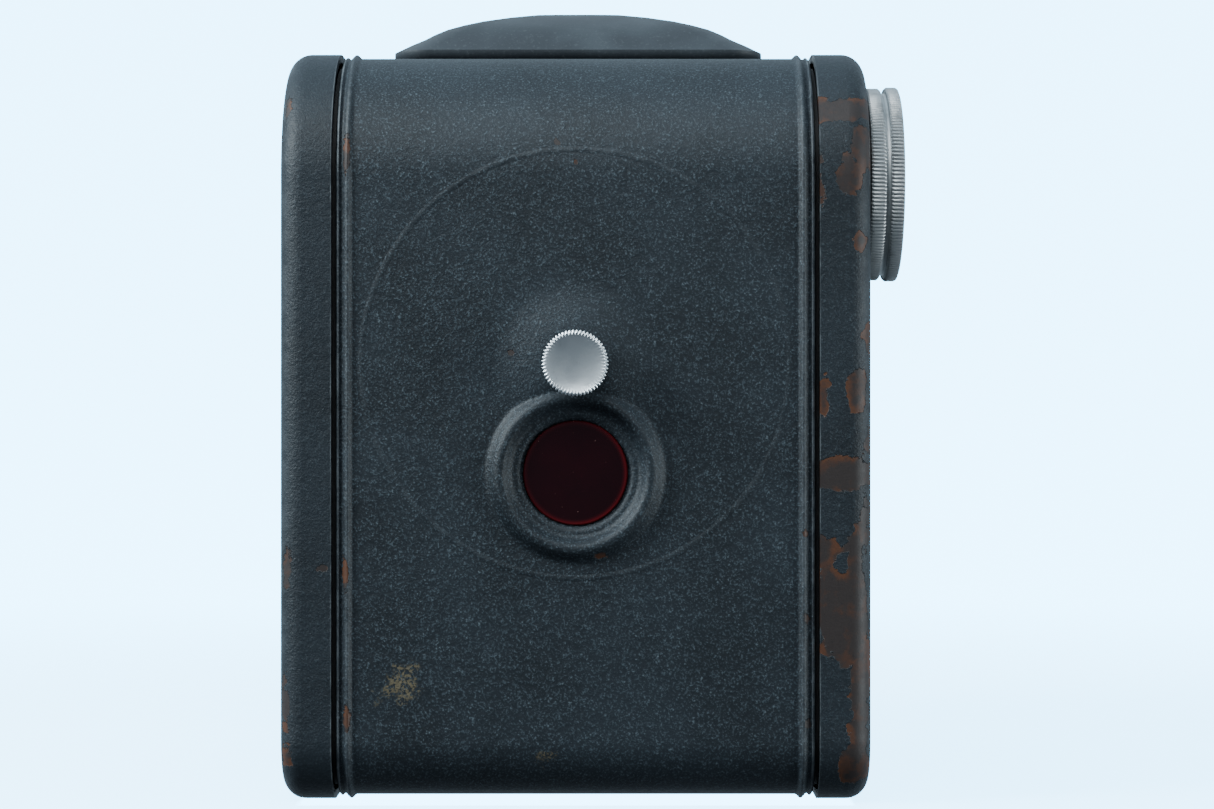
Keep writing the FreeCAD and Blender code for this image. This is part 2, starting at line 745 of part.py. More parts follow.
def make_window_and_blind():
    """The red window, and the knob and disc of its blind, closed: a turn of 60 degrees opens it."""
    window = ("0", "dims.window_height")
    node("red_window", rod("red_window", "y", window, DOOR_BACK, DOOR_INSIDE, "dims.window_radius"))
    knob_back = f"({BOSS} - dims.plate_clear - dims.blind_knob_length)"
    knob_front = f"({BOSS} - dims.plate_clear)"
    disc_back = f"({DOOR_INSIDE} + dims.disc_gap)"
    disc_front = f"({disc_back} + dims.disc_gauge)"
    edge = "dims.blind_knob_edge"
    knob = turned("blind_knob", "y", ("0", "dims.blind_height"), [
        (f"{knob_back} + dims.blind_dish", "0"), (f"{knob_back} + dims.blind_dish", "dims.blind_dish_flat"),
        (knob_back, "dims.blind_knob_radius - dims.blind_knob_lip"),
        (f"{knob_back} + {edge}", "dims.blind_knob_radius"),
        (f"{knob_front} - {edge}", "dims.blind_knob_radius"),
        (knob_front, f"dims.blind_knob_radius - {edge}"), (knob_front, "dims.spindle_radius"),
        (disc_front, "dims.spindle_radius"), (disc_front, "0"),
    ])
    node("blind_knob", knob)
    disc = rod("disc_sheet", "y", ("0", "dims.blind_height"), disc_back, disc_front, "dims.disc_radius")
    bore = rod("disc_bore", "y", ("0", "dims.blind_height"), f"{disc_back} - 1", f"{disc_front} + 1",
               "dims.spindle_radius")
    reach = "(dims.blind_height - dims.window_height)"
    eye = rod("disc_eye", "y", (f"{reach} * sin(60)", f"dims.blind_height - {reach} * cos(60)"),
              f"{disc_back} - 1", f"{disc_front} + 1", "dims.window_radius + dims.eye_room")
    node("blind_disc", cut("blind_disc", disc, [bore, eye]))


def make_pressure_plate():
    """The plate that keeps the film flat, and the two bowed leaves that press it forwards."""
    front = "(-dims.film_plane - dims.plate_clear)"
    back = f"({front} - dims.pressure_gauge)"
    plate = box("pressure_sheet", ("-dims.rail_outer", "dims.rail_outer"), (back, front),
                ("dims.lens_height - dims.pressure_half", "dims.lens_height + dims.pressure_half"))
    eye = rod("pressure_eye", "y", ("0", "dims.window_height"), f"{back} - 1", f"{front} + 1",
              "dims.window_radius + dims.eye_room")
    node("pressure_plate", cut("pressure_plate", plate, [eye]))
    springs = []
    for side, sign in SIDES.items():
        body = new_body(f"pressure_spring_{side}")
        foot = f"{DOOR_INSIDE} + dims.leaf_gauge"
        tip = f"{back} - dims.leaf_gauge"
        low = ("dims.lens_height - dims.leaf_foot", "dims.lens_height - dims.leaf_reach")
        high = ("dims.lens_height + dims.leaf_foot", "dims.lens_height + dims.leaf_reach")
        bow = outline(body, "YZ_Plane", f"{sign} * dims.leaf_offset - dims.leaf_width / 2", [
            (DOOR_INSIDE, low[0]), (tip, low[1]), (back, low[1]), (foot, low[0]),
            (foot, high[0]), (back, high[1]), (tip, high[1]), (DOOR_INSIDE, high[0]),
        ])
        pad(body, bow, "dims.leaf_width")
        springs.append(body)
    node("pressure_springs", group("pressure_springs", springs))


# ---- film path ----

def make_film_gate():
    """The frame of the picture, with a rail for the film on each side."""
    low = "dims.lens_height - dims.gate_frame"
    high = "dims.lens_height + dims.gate_frame"
    rail = "(-dims.film_plane + dims.rail_rise)"
    front = f"({rail} + dims.gate_gauge)"
    frame = box("gate_sheet", (f"-{CHAMBER_HALF}", CHAMBER_HALF), (rail, front), (low, high))
    rails = [box(f"gate_rail_{side}", beside(sign, "dims.rail_inner", "dims.rail_outer"),
                 ("-dims.film_plane", rail), (low, high)) for side, sign in SIDES.items()]
    opening = box("gate_opening", about("0", "dims.gate_half"), ("-dims.film_plane - 1", f"{front} + 1"),
                  about("dims.lens_height", "dims.gate_half"))
    node("film_gate", cut("film_gate", fuse("gate_frame_and_rails", [frame] + rails), [opening]))


def frustum(name, back, front, back_half, front_half):
    """A square pyramid cut short, along Y, centred on the lens axis."""
    solid = doc.addObject("Part::Wedge", name)
    for end, half in (("", back_half), ("2", front_half)):
        for axis in "XZ":
            bind(solid, f"{axis}{end}min", f"-({half})")
            bind(solid, f"{axis}{end}max", half)
    bind(solid, "Ymin", back)
    bind(solid, "Ymax", front)
    bind(solid, "Placement.Base.z", "dims.lens_height")
    return solid


def make_light_cone():
    """The tapered duct from the lens to the film."""
    back = "(-dims.film_plane + dims.rail_rise + dims.gate_gauge)"
    wall = "dims.cone_gauge"
    front = "dims.cone_front"
    outer = frustum("cone_outer", back, front, f"dims.gate_half + {wall}", f"dims.cone_mouth + {wall}")
    inner = frustum("cone_inner", back, front, "dims.gate_half", "dims.cone_mouth")
    node("light_cone", cut("light_cone", outer, [inner]))


def make_rollers():
    """Two free rollers that lead the film over the gate, and their pins."""
    depth = "(-dims.film_plane + dims.roller_radius)"
    pins = []
    for name, sign in (("upper", 1), ("lower", -1)):
        centre = (depth, f"dims.lens_height + {sign} * dims.roller_offset")
        outside = rod(f"{name}_tube", "x", centre, "-dims.roller_half", "dims.roller_half",
                      "dims.roller_radius")
        bore = rod(f"{name}_bore", "x", centre, "-dims.roller_half - 1", "dims.roller_half + 1",
                   "dims.roller_pin + dims.running_gap")
        node(f"{name}_roller", cut(f"{name}_roller", outside, [bore]))
        pins.append(rod(f"{name}_pin", "x", centre, f"-{CHAMBER_HALF}", CHAMBER_HALF, "dims.roller_pin"))
    node("roller_pins", group("roller_pins", pins))


def make_take_up():
    """Take-up spool, its fixed pivot, and the shaft, bush, spring and knob that wind it."""
    centre = ("-dims.winder_depth", "dims.winder_height")
    end = "dims.spool_half"
    inside = "(dims.spool_half - dims.flange_gauge)"
    spool = turned("spool_turned_body", "x", centre, [
        (f"-{end}", "dims.pivot_bore"), (f"-{end}", "dims.spool_flange"),
        (f"-{inside}", "dims.spool_flange"), (f"-{inside}", "dims.spool_core"),
        (inside, "dims.spool_core"), (inside, "dims.spool_flange"),
        (end, "dims.spool_flange"), (end, "0"), (f"{end} - dims.spool_end", "0"),
        (f"{end} - dims.spool_end", "dims.pivot_bore"),
    ])
    half_width = "(dims.key_width / 2 + dims.key_room)"
    half_gauge = "(dims.key_gauge / 2 + dims.key_room)"
    slot = box("spool_slot", (f"{end} - dims.spool_slot", f"{end} + 1"),
               (f"{centre[0]} - {half_gauge}", f"{centre[0]} + {half_gauge}"),
               (f"{centre[1]} - {half_width}", f"{centre[1]} + {half_width}"))
    node("take_up_spool", cut("take_up_spool", spool, [slot]))

    wall = f"-{CHAMBER_HALF}"
    tip = f"{wall} + dims.pivot_reach"
    pivot = turned("take_up_pivot", "x", centre, [
        (wall, "0"), (wall, "dims.pivot_flange"), (f"{wall} + dims.pivot_gauge", "dims.pivot_flange"),
        (f"{wall} + dims.pivot_gauge", "dims.pivot_radius"), (tip, "dims.pivot_radius"), (tip, "0"),
    ])
    node("take_up_pivot", pivot)

    bore = "dims.shaft_radius + dims.running_gap"
    bush = turned("winder_bush", "x", centre, [
        (CHAMBER_HALF, bore), (CHAMBER_HALF, "dims.bush_radius"),
        ("dims.cheek_outer", "dims.bush_radius"), ("dims.cheek_outer", bore),
    ])
    node("winder_bush", bush)
    spring = coil("anti_reverse_spring", "x", centre, "dims.cheek_inner + dims.spring_room",
                  "dims.cheek_outer - dims.cheek_gauge - dims.spring_room",
                  "dims.bush_radius + dims.spring_room", 5)
    node("anti_reverse_spring", spring)

    shoulder = "(dims.spool_half + dims.spool_gap)"
    journal = rod("shaft_journal", "x", centre, shoulder, "dims.knob_end - 1", "dims.shaft_radius")
    key = box("shaft_key", (f"{shoulder} - dims.key_length", f"{shoulder} + 0.5"),
              (f"{centre[0]} - dims.key_gauge / 2", f"{centre[0]} + dims.key_gauge / 2"),
              (f"{centre[1]} - dims.key_width / 2", f"{centre[1]} + dims.key_width / 2"))
    node("winding_shaft", fuse("winding_shaft", [journal, key]))

    edge = "dims.knob_edge"
    knob = turned("winding_knob", "x", centre, [
        ("dims.knob_start", "dims.shaft_radius"), ("dims.knob_start", f"dims.knob_radius - {edge}"),
        (f"dims.knob_start + {edge}", "dims.knob_radius"),
        (f"dims.knob_inner_end - {edge}", "dims.knob_radius"),
        ("dims.knob_inner_end", f"dims.knob_radius - {edge}"),
        ("dims.knob_inner_end", "dims.knob_radius - dims.knob_groove"),
        ("dims.knob_groove_end", "dims.knob_radius - dims.knob_groove"),
        ("dims.knob_groove_end", f"dims.knob_radius - {edge}"),
        (f"dims.knob_groove_end + {edge}", "dims.knob_radius"),
        (f"dims.knob_end - {edge}", "dims.knob_radius"),
        ("dims.knob_end", f"dims.knob_radius - {edge}"), ("dims.knob_end", "dims.knob_face"),
        ("dims.knob_end - dims.knob_hollow", "dims.knob_face - dims.knob_hollow"),
        ("dims.knob_end - dims.knob_hollow", "dims.shaft_radius"),
    ])
    node("winding_knob", knob)


def make_supply():
    """Pins that hold the full roll, and the leaf that brakes it."""
    centre = ("-dims.supply_depth", "dims.supply_height")
    pins = []
    for side, sign in SIDES.items():
        reach = beside(sign, f"{CHAMBER_HALF} - dims.pivot_reach", CHAMBER_HALF)
        pins.append(rod(f"supply_pin_{side}", "x", centre, reach[0], reach[1], "dims.pivot_radius"))
    node("supply_pins", group("supply_pins", pins))
    body = new_body("supply_spring")
    bend = "-dims.brake_bend"
    tip = "-dims.brake_back"
    leaf = outline(body, "YZ_Plane", "dims.brake_offset", [
        ("-dims.brake_front", BASE_INSIDE), ("-dims.brake_front", f"{BASE_INSIDE} + dims.brake_gauge"),
        (bend, f"{BASE_INSIDE} + dims.brake_gauge"),
        (tip, f"{BASE_INSIDE} + dims.brake_gauge + dims.brake_lift"),
        (tip, f"{BASE_INSIDE} + dims.brake_lift"), (bend, BASE_INSIDE),
    ])
    pad(body, leaf, "dims.brake_width")
    node("supply_spring", body)


# ---- finder ----

def make_finder():
    """The reflecting finder: its dark housing, mirror, two lenses, bezel and the frame under the lid."""
    half = "dims.finder_half"
    wall = "dims.finder_gauge"
    corner = "(dims.corner_radius - dims.sheet_step - dims.sheet_gauge)"
    body = new_body("finder_housing")
    outside = outline(body, "YZ_Plane", f"-{half}", [
        ("-dims.finder_back", "dims.finder_floor"), (SHELL_INSIDE, "dims.finder_floor"),
        (SHELL_INSIDE, f"{TOP_INSIDE} - {corner}"), (f"{SHELL_INSIDE} - {corner}", TOP_INSIDE),
        ("-dims.finder_back", TOP_INSIDE),
    ])
    pad(body, outside, f"2 * {half}")
    hollow = outline(body, "YZ_Plane", f"{half} - {wall}", [
        (f"-dims.finder_back + {wall}", f"dims.finder_floor + {wall}"),
        (f"{SHELL_INSIDE} - {wall}", f"dims.finder_floor + {wall}"),
        (f"{SHELL_INSIDE} - {wall}", f"{TOP_INSIDE} - {corner} - 0.4 * {wall}"),
        (f"{SHELL_INSIDE} - {corner} - 2.4 * {wall}", f"{TOP_INSIDE} + {wall}"),
        (f"-dims.finder_back + {wall}", f"{TOP_INSIDE} + {wall}"),
    ])
    pocket(body, hollow, f"2 * ({half} - {wall})")
    eye = circles(body, "XZ_Plane", f"{SHELL_INSIDE} + 1", [("0", "dims.finder_height")],
                  "dims.objective_radius + dims.objective_room")
    pocket(body, eye, "dims.cut_depth", reverse=True)
    node("finder_housing", body)

    mirror = box("finder_mirror", about("0", f"{half} - {wall} - dims.mirror_room"),
                 ("-dims.mirror_length / 2", "dims.mirror_length / 2"), ("-dims.mirror_gauge", "0"))
    mirror.Placement.Rotation = FreeCAD.Rotation(FreeCAD.Vector(1, 0, 0), -45)
    lean = "dims.mirror_length / 2 * cos(45)"
    bind(mirror, "Placement.Base.y", f"dims.mirror_depth - {lean}")
    bind(mirror, "Placement.Base.z", f"dims.finder_height + dims.mirror_lift + {lean}")
    node("finder_mirror", mirror)

    place = ("0", "dims.finder_height")
    radius = "dims.objective_radius"
    objective = turned("finder_objective", "y", place, [
        (f"{SHELL_INSIDE} + 0.2", "0"), (f"{SHELL_INSIDE} + 0.2", radius), (f"{SHELL_FRONT} + 0.9", radius),
        (f"{SHELL_FRONT} + 1.7", f"{radius} * 0.66"), (f"{SHELL_FRONT} + 2.1", f"{radius} * 0.33"),
        (f"{SHELL_FRONT} + 2.2", "0"),
    ])
    node("finder_objective", objective)
    bezel = turned("finder_bezel", "y", place, [
        (SHELL_FRONT, f"{radius} + dims.solder_gap"), (SHELL_FRONT, "dims.bezel_radius"),
        (f"{SHELL_FRONT} + 1.2", "dims.bezel_radius"), ("dims.bezel_front", "dims.bezel_radius - 1"),
        ("dims.bezel_front", f"{radius} - 0.6"), (f"{SHELL_FRONT} + 1.4", f"{radius} - 0.6"),
        (f"{SHELL_FRONT} + 1.0", f"{radius} + dims.solder_gap"),
    ])
    node("finder_bezel", bezel)

    lens = box("finder_field_lens", about("0", "dims.field_half"), ("-dims.field_back", "dims.field_front"),
               (f"{TOP_INSIDE} + dims.field_drop", f"{TOP_INSIDE} + dims.field_drop + dims.field_gauge"))
    node("finder_field_lens", lens)

    outside = box("collar_outside", about("0", "dims.frame_half"), ("-dims.frame_back", "dims.frame_front"),
                  (TOP_SHEET, "dims.frame_top"))
    leaf = box("collar_leaf", ("-16", "16"), ("dims.frame_front - 1", "dims.lid_hinge_depth + 1"),
               (TOP_SHEET, f"{TOP_SHEET} + 0.8"))
    well = box("collar_well", about("0", "dims.field_half + 0.1"),
               ("-dims.field_back - 0.1", "dims.field_front + 0.1"),
               (f"{TOP_SHEET} - 1", "dims.frame_top + 1"))
    lugs = []
    for side, sign in SIDES.items():
        span = beside(sign, "dims.lid_lug_inner", "dims.lid_lug_outer")
        lugs.append(box(f"lid_lug_{side}", span, about("dims.lid_hinge_depth", "0.9"),
                        (TOP_SHEET, "dims.lid_hinge_height")))
        lugs.append(rod(f"lid_eye_{side}", "x", ("dims.lid_hinge_depth", "dims.lid_hinge_height"),
                        span[0], span[1], "dims.lid_knuckle"))
    bore = rod("lid_lug_bore", "x", ("dims.lid_hinge_depth", "dims.lid_hinge_height"), "-16", "16",
               "dims.lid_pin + dims.running_gap")
    node("finder_frame", cut("finder_frame", fuse("collar_and_lugs", [outside, leaf] + lugs), [well, bore]))
    pin = rod("lid_hinge_pin", "x", ("dims.lid_hinge_depth", "dims.lid_hinge_height"),
              "-dims.lid_lug_outer", "dims.lid_lug_outer", "dims.lid_pin")
    node("lid_hinge_pin", pin)


def make_finder_lid():
    """A domed pan with a low skirt, sloped shoulders on all four sides and a knuckle at its front."""
    body = new_body("lid_pan")
    half = "dims.lid_half"
    shoulder = f"({half} - dims.lid_slope)"
    section = outline(body, "XZ_Plane", "-dims.lid_back", [
        (f"-{half}", "dims.lid_foot"), (half, "dims.lid_foot"), (half, "dims.lid_skirt"),
        (shoulder, "dims.lid_shoulder"), ("0", "dims.lid_peak"), (f"-{shoulder}", "dims.lid_shoulder"),
        (f"-{half}", "dims.lid_skirt"),
    ])
    pad(body, section, "dims.lid_front + dims.lid_back", reverse=True)
    above = "(dims.lid_peak + 1)"
    rise = "(dims.lid_shoulder - dims.lid_skirt)"
    slope = "(dims.lid_slope + (dims.lid_peak + 1 - dims.lid_shoulder) * dims.lid_slope / " + rise + ")"
    for end, sign in (("-dims.lid_back", 1), ("dims.lid_front", -1)):
        wedge = outline(body, "YZ_Plane", half, [
            (end, "dims.lid_skirt"), (f"{end} + {sign} * {slope}", above), (f"{end} - {sign}", above),
            (f"{end} - {sign}", "dims.lid_skirt"),
        ])
        pocket(body, wedge, f"2 * {half}")

    def on_crown(edge):
        middle = edge.CenterOfMass
        return abs(middle.x) < CLOSE and edge.BoundBox.XLength < CLOSE and edge.BoundBox.ZLength < CLOSE
    round_edges(body, "dims.lid_crown", on_crown)
    thin(body, "dims.lid_gauge", FreeCAD.Vector(0, 0, 1), FreeCAD.Vector(0, 0, value("dims.lid_foot")))

    centre = ("dims.lid_hinge_depth", "dims.lid_hinge_height")
    ends = about("0", "dims.lid_knuckle_half")
    web = box("lid_web", ends, ("dims.lid_front - 0.6", "dims.lid_hinge_depth"),
              ("dims.lid_foot", "dims.lid_foot + 0.8"))
    barrel = rod("lid_barrel", "x", centre, ends[0], ends[1], "dims.lid_knuckle")
    bore = rod("lid_bore", "x", centre, "-dims.lid_lug_inner", "dims.lid_lug_inner",
               "dims.lid_pin + dims.running_gap")
    node("finder_lid", cut("finder_lid", fuse("lid_and_knuckle", [body, web, barrel]), [bore]))


# ---- lens and shutter ----

def make_lens():
    """The lens, the ring that holds it and the bright mount round them."""
    place = ("0", "dims.lens_height")
    mount = turned("lens_mount", "y", place, [
        (SHELL_FRONT, "dims.ring_radius + 1"), (SHELL_FRONT, "dims.mount_flange"),
        (f"{SHELL_FRONT} + 1.4", "dims.mount_flange"), (f"{SHELL_FRONT} + 1.4", "dims.mount_barrel"),
        ("dims.mount_front - 1", "dims.mount_barrel"), ("dims.mount_front", "dims.mount_barrel - 1"),
        ("dims.mount_front", "dims.mount_barrel - dims.mount_lip"),
        ("dims.mount_front - 2.5", "dims.ring_radius + 1"),
    ])
    node("lens_mount", mount)
    radius = "dims.glass_radius"
    glass = turned("lens_glass", "y", place, [
        (f"{SHELL_FRONT} + 0.4", "0"), (f"{SHELL_FRONT} + 0.4", radius), (f"{SHELL_FRONT} + 1.8", radius),
        (f"{SHELL_FRONT} + 2.5", f"{radius} * 0.66"), (f"{SHELL_FRONT} + 2.9", f"{radius} * 0.33"),
        (f"{SHELL_FRONT} + 3", "0"),
    ])
    node("lens_glass", glass)
    ring = turned("lens_ring", "y", place, [
        (SHELL_FRONT, f"{radius} + dims.solder_gap"), (SHELL_FRONT, "dims.ring_radius + 1"),
        ("dims.mount_front - 2.6", "dims.ring_radius + 1"), (f"{SHELL_FRONT} + 2.2", f"{radius} - 0.5"),
        (f"{SHELL_FRONT} + 1.9", f"{radius} + dims.solder_gap"),
    ])
    node("lens_ring", ring)


def make_shutter():
    """The shutter's fixed plate and posts, its turning sector, and the release lever with its spring."""
    plate_back = "dims.cone_front"
    plate_front = "(dims.cone_front + dims.shutter_gauge)"
    half = "dims.shutter_half"
    sheet_box = box("shutter_sheet", (f"-{half}", half), (plate_back, plate_front),
                    (f"dims.lens_height - {half} + 2", f"dims.lens_height + {half} - 2"))
    eye = rod("shutter_eye", "y", ("0", "dims.lens_height"), f"{plate_back} - 1", f"{plate_front} + 1",
              "dims.aperture_radius")
    node("shutter_plate", cut("shutter_plate", sheet_box, [eye]))
    posts = [rod(f"shutter_post_{index}", "y", (across, f"dims.lens_height + {up}"), plate_front,
                 SHELL_INSIDE, "dims.shutter_post") for index, (across, up) in enumerate(SHUTTER_POSTS)]
    node("shutter_posts", group("shutter_posts", posts))

    sector_place = ("-dims.sector_offset", "dims.lens_height")
    pivot = turned("sector_pivot", "y", sector_place, [
        (plate_front, "0"), (plate_front, "dims.pin_radius"), (f"{plate_front} + 1.6", "dims.pin_radius"),
        (f"{plate_front} + 1.6", "1.8"), (f"{plate_front} + 2.2", "1.8"), (f"{plate_front} + 2.2", "0"),
    ])
    node("sector_pivot", pivot)
    back = f"({plate_front} + 0.5)"
    front = f"({back} + dims.sector_gauge)"
    disc = rod("sector_disc", "y", sector_place, back, front, "dims.sector_radius")
    eye = rod("sector_eye", "y", ("-dims.sector_offset + dims.sector_offset * cos(30)",
                                 "dims.lens_height + dims.sector_offset * sin(30)"),
              f"{back} - 1", f"{front} + 1", "dims.aperture_radius + 0.3")
    bore = rod("sector_bore", "y", sector_place, f"{back} - 1", f"{front} + 1",
               "dims.pin_radius + dims.running_gap")
    trim = box("sector_trim", ("-dims.sector_offset - dims.sector_radius - 1", "-dims.sector_offset - 3"),
               (f"{back} - 1", f"{front} + 1"), ("dims.lens_height - 18", "dims.lens_height + 18"))
    node("shutter_sector", cut("shutter_sector", disc, [eye, bore, trim]))

    place = ("dims.lever_offset", "dims.lever_height")
    lever_pin = turned("lever_pivot", "y", place, [
        (plate_front, "0"), (plate_front, "2"), (f"{plate_front} + 2.2", "2"),
        (f"{plate_front} + 2.2", "dims.pin_radius"), (SHELL_INSIDE, "dims.pin_radius"), (SHELL_INSIDE, "0"),
    ])
    node("lever_pivot", lever_pin)
    arm_back = f"({plate_front} + 2.5)"
    arm_front = f"({arm_back} + dims.lever_gauge)"
    tip = "(dims.lever_offset + dims.lever_reach)"
    hub = rod("lever_hub", "y", place, arm_back, arm_front, "dims.lever_hub")
    gauge = "dims.lever_gauge"
    middle = about("dims.lever_height", "dims.lever_half")
    arm = box("lever_arm", ("dims.lever_offset", f"{tip} + {gauge}"), (arm_back, arm_front), middle)
    stem = box("lever_stem", about(tip, gauge), (arm_back, "dims.lever_front"), middle)
    thumb = box("lever_thumb", (f"{tip} - {gauge}", f"{tip} + dims.thumb_reach"),
                (f"dims.lever_front - {gauge}", "dims.lever_front"),
                about("dims.lever_height", "dims.thumb_half"))
    hole = rod("lever_hole", "y", place, f"{arm_back} - 1", f"{arm_front} + 1",
               "dims.pin_radius + dims.running_gap")
    node("release_lever", cut("release_lever", fuse("lever_blank", [hub, arm, stem, thumb]), [hole]))
    spring = coil("lever_spring", "y", place, f"{arm_front} + 0.7", f"{SHELL_INSIDE} - 0.7", "1.8", 2)
    node("lever_spring", spring)


def make_selector():
    """The slide that holds the shutter open for a time exposure, and the guide that it runs in."""
    middle = "(-dims.selector_offset)"
    front = f"({SHELL_INSIDE} - dims.selector_gap)"
    back = f"({front} - dims.selector_gauge)"
    low = "dims.lens_height - dims.selector_low"
    strip = box("selector_strip", about(middle, "dims.selector_strip"), (back, front),
                (low, "dims.lens_height + dims.selector_high"))
    tab = box("selector_tab", about(middle, "dims.selector_tab"), (back, "dims.selector_front"),
              ("dims.lens_height - dims.tab_low", "dims.lens_height + dims.tab_high"))
    node("time_selector", fuse("time_selector", [strip, tab]))
    block = box("guide_block", about(middle, "dims.guide_half"),
                (f"{SHELL_INSIDE} - dims.guide_depth", SHELL_INSIDE),
                ("dims.lens_height - dims.guide_low", "dims.lens_height - dims.guide_high"))
    channel = box("guide_channel", about(middle, "dims.selector_strip + dims.guide_room"),
                  (f"{back} - dims.guide_room", f"{SHELL_INSIDE} + 1"),
                  (low, "dims.lens_height - dims.tab_low"))
    node("selector_guide", cut("selector_guide", block, [channel]))


def make_tripod_bush():
    """The tripod socket in the base, flanged inside."""
    bush = turned("tripod_bush", "z", ("0", "0"), [
        ("0", "dims.socket_radius"), ("0", "dims.socket_boss"), (BASE_INSIDE, "dims.socket_boss"),
        (BASE_INSIDE, "dims.socket_flange"), (f"{BASE_INSIDE} + 1", "dims.socket_flange"),
        (f"{BASE_INSIDE} + 1", "dims.socket_boss"), ("dims.socket_height", "dims.socket_boss"),
        ("dims.socket_height", "0"), ("dims.socket_depth", "0"),
        ("dims.socket_depth", "dims.socket_radius"),
    ])
    node("tripod_bush", bush)


def check_and_write():
    """Stop on any failed object or unsound solid, then write one file for each piece."""
    doc.recompute()
    for thing in doc.Objects:
        if "Invalid" in thing.State or "Error" in thing.State:
            raise RuntimeError(f"{thing.Name} failed: {thing.State}")
    for thing in nodes:
        shape = thing.Shape
        if shape.isNull() or not shape.isValid() or not shape.Solids:
            raise RuntimeError(f"{thing.Label} has no sound solid")
    os.makedirs("parts", exist_ok=True)
    for thing in nodes:
        thing.Shape.exportStep(f"parts/{thing.Label}.step")
        print(f"{thing.Label}: {thing.Shape.Volume:.1f} mm3, {len(thing.Shape.Solids)} solids")


for side, sign in SIDES.items():
    make_cheek(side, sign)
    make_side_plate(side, sign)
make_cheek_screws()
make_back_door()
make_front_shell()
make_door_fittings()
make_window_and_blind()
make_pressure_plate()
make_film_gate()
make_light_cone()
make_rollers()
make_take_up()
make_supply()
make_finder()
make_finder_lid()
make_lens()
make_shutter()
make_selector()
make_tripod_bush()
check_and_write()
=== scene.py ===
import json
import math

import bmesh
import bpy
from mathutils import Matrix, Vector


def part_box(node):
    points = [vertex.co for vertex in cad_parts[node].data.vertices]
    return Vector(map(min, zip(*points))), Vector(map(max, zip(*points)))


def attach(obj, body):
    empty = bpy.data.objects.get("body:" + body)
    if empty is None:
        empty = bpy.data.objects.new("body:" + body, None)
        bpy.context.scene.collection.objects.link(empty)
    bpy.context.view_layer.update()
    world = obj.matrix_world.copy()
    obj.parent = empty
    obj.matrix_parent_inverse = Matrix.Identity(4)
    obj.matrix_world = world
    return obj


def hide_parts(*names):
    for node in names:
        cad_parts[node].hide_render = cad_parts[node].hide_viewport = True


# A pressed-metal roll-film camera whose back door faces -Y. +Z is up, +X runs towards the winding knob and
# +Y towards the lens. Lengths are in millimetres, apart from the sizes and places of the stage, of the
# lights and of the viewing camera, which are in metres.

MM = 0.001
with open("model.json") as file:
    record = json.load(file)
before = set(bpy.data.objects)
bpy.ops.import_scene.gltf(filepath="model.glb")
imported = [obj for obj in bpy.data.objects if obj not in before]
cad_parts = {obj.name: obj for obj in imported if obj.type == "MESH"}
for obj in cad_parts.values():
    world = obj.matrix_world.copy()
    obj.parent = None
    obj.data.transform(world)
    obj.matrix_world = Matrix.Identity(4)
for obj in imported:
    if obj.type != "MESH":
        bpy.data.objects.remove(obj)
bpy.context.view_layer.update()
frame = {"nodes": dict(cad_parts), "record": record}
NODES = frame["nodes"]


def low(node):
    """The lower corner of a node's box."""
    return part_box(node)[0] / MM


def high(node):
    """The upper corner of a node's box."""
    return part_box(node)[1] / MM


def middle(node):
    """The centre of a node's box."""
    return (low(node) + high(node)) / 2


CHEEK_LOW = low("left_cheek")
CHEEK_HIGH = high("left_cheek")
CHEEK_TOP_ROUND = 19.0
CHEEK_BASE_ROUND = 9.0

# the door's sheet follows the outline of the side covers, one step inside it
SHEET_STEP = 0.6
SHEET_GAUGE = 0.9
TOP_ROUND = CHEEK_TOP_ROUND - SHEET_STEP
BASE_ROUND = CHEEK_BASE_ROUND - SHEET_STEP
BACK_FLAT = CHEEK_LOW.y + SHEET_STEP
BASE_FLAT = CHEEK_LOW.z + SHEET_STEP
TOP_FLAT = CHEEK_HIGH.z - SHEET_STEP
TOP_START = TOP_FLAT - TOP_ROUND
BASE_START = BASE_FLAT + BASE_ROUND
WINDOW = middle("red_window")
WINDOW_RADIUS = 7.4
BLIND = middle("blind_disc")

# distances of the door's bead, groove, lip and edge from its middle line
BEAD = 32.3
GROOVE = 33.15
LIP = 33.6
DOOR_EDGE = 34.0
HOLE_RADIUS = 7.5
PRESSED_CIRCLE = 30.4


# ---- materials ----

# places of a mix node's colour sockets, which share their names with its other sockets
MIX_FIRST = 6
MIX_SECOND = 7
MIX_RESULT = 2


class Value:
    """A number in a material: arithmetic on it adds Math nodes."""

    def __init__(self, finish, socket):
        self.finish = finish
        self.socket = socket

    def math(self, operation, *others):
        """The result of one operation on this value and any others."""
        node = self.finish.node("ShaderNodeMath", dict(enumerate((self,) + others)), operation=operation)
        return Value(self.finish, node.outputs[0])

    def __add__(self, other):
        return self.math("ADD", other)

    __radd__ = __add__

    def __mul__(self, other):
        return self.math("MULTIPLY", other)

    def __sub__(self, other):
        return self.math("SUBTRACT", other)

    def __rsub__(self, other):
        return self * -1 + other

    def __truediv__(self, other):
        return self.math("DIVIDE", other)

    def __pow__(self, other):
        return self.math("POWER", other)

    def __abs__(self):
        return self.math("ABSOLUTE")

    def least(self, other):
        return self.math("MINIMUM", other)

    def most(self, other):
        return self.math("MAXIMUM", other)

    def root(self):
        return self.math("SQRT")

    def step(self, start, end):
        """Rises smoothly from 0 at start to 1 at end; falls where end is the smaller."""
        first, last = sorted((start, end))
        results = (0, 1) if end > start else (1, 0)
        node = self.finish.node("ShaderNodeMapRange", {
            "Value": self, "From Min": first, "From Max": last, "To Min": results[0], "To Max": results[1],
        }, interpolation_type="SMOOTHSTEP")
        return Value(self.finish, node.outputs["Result"])


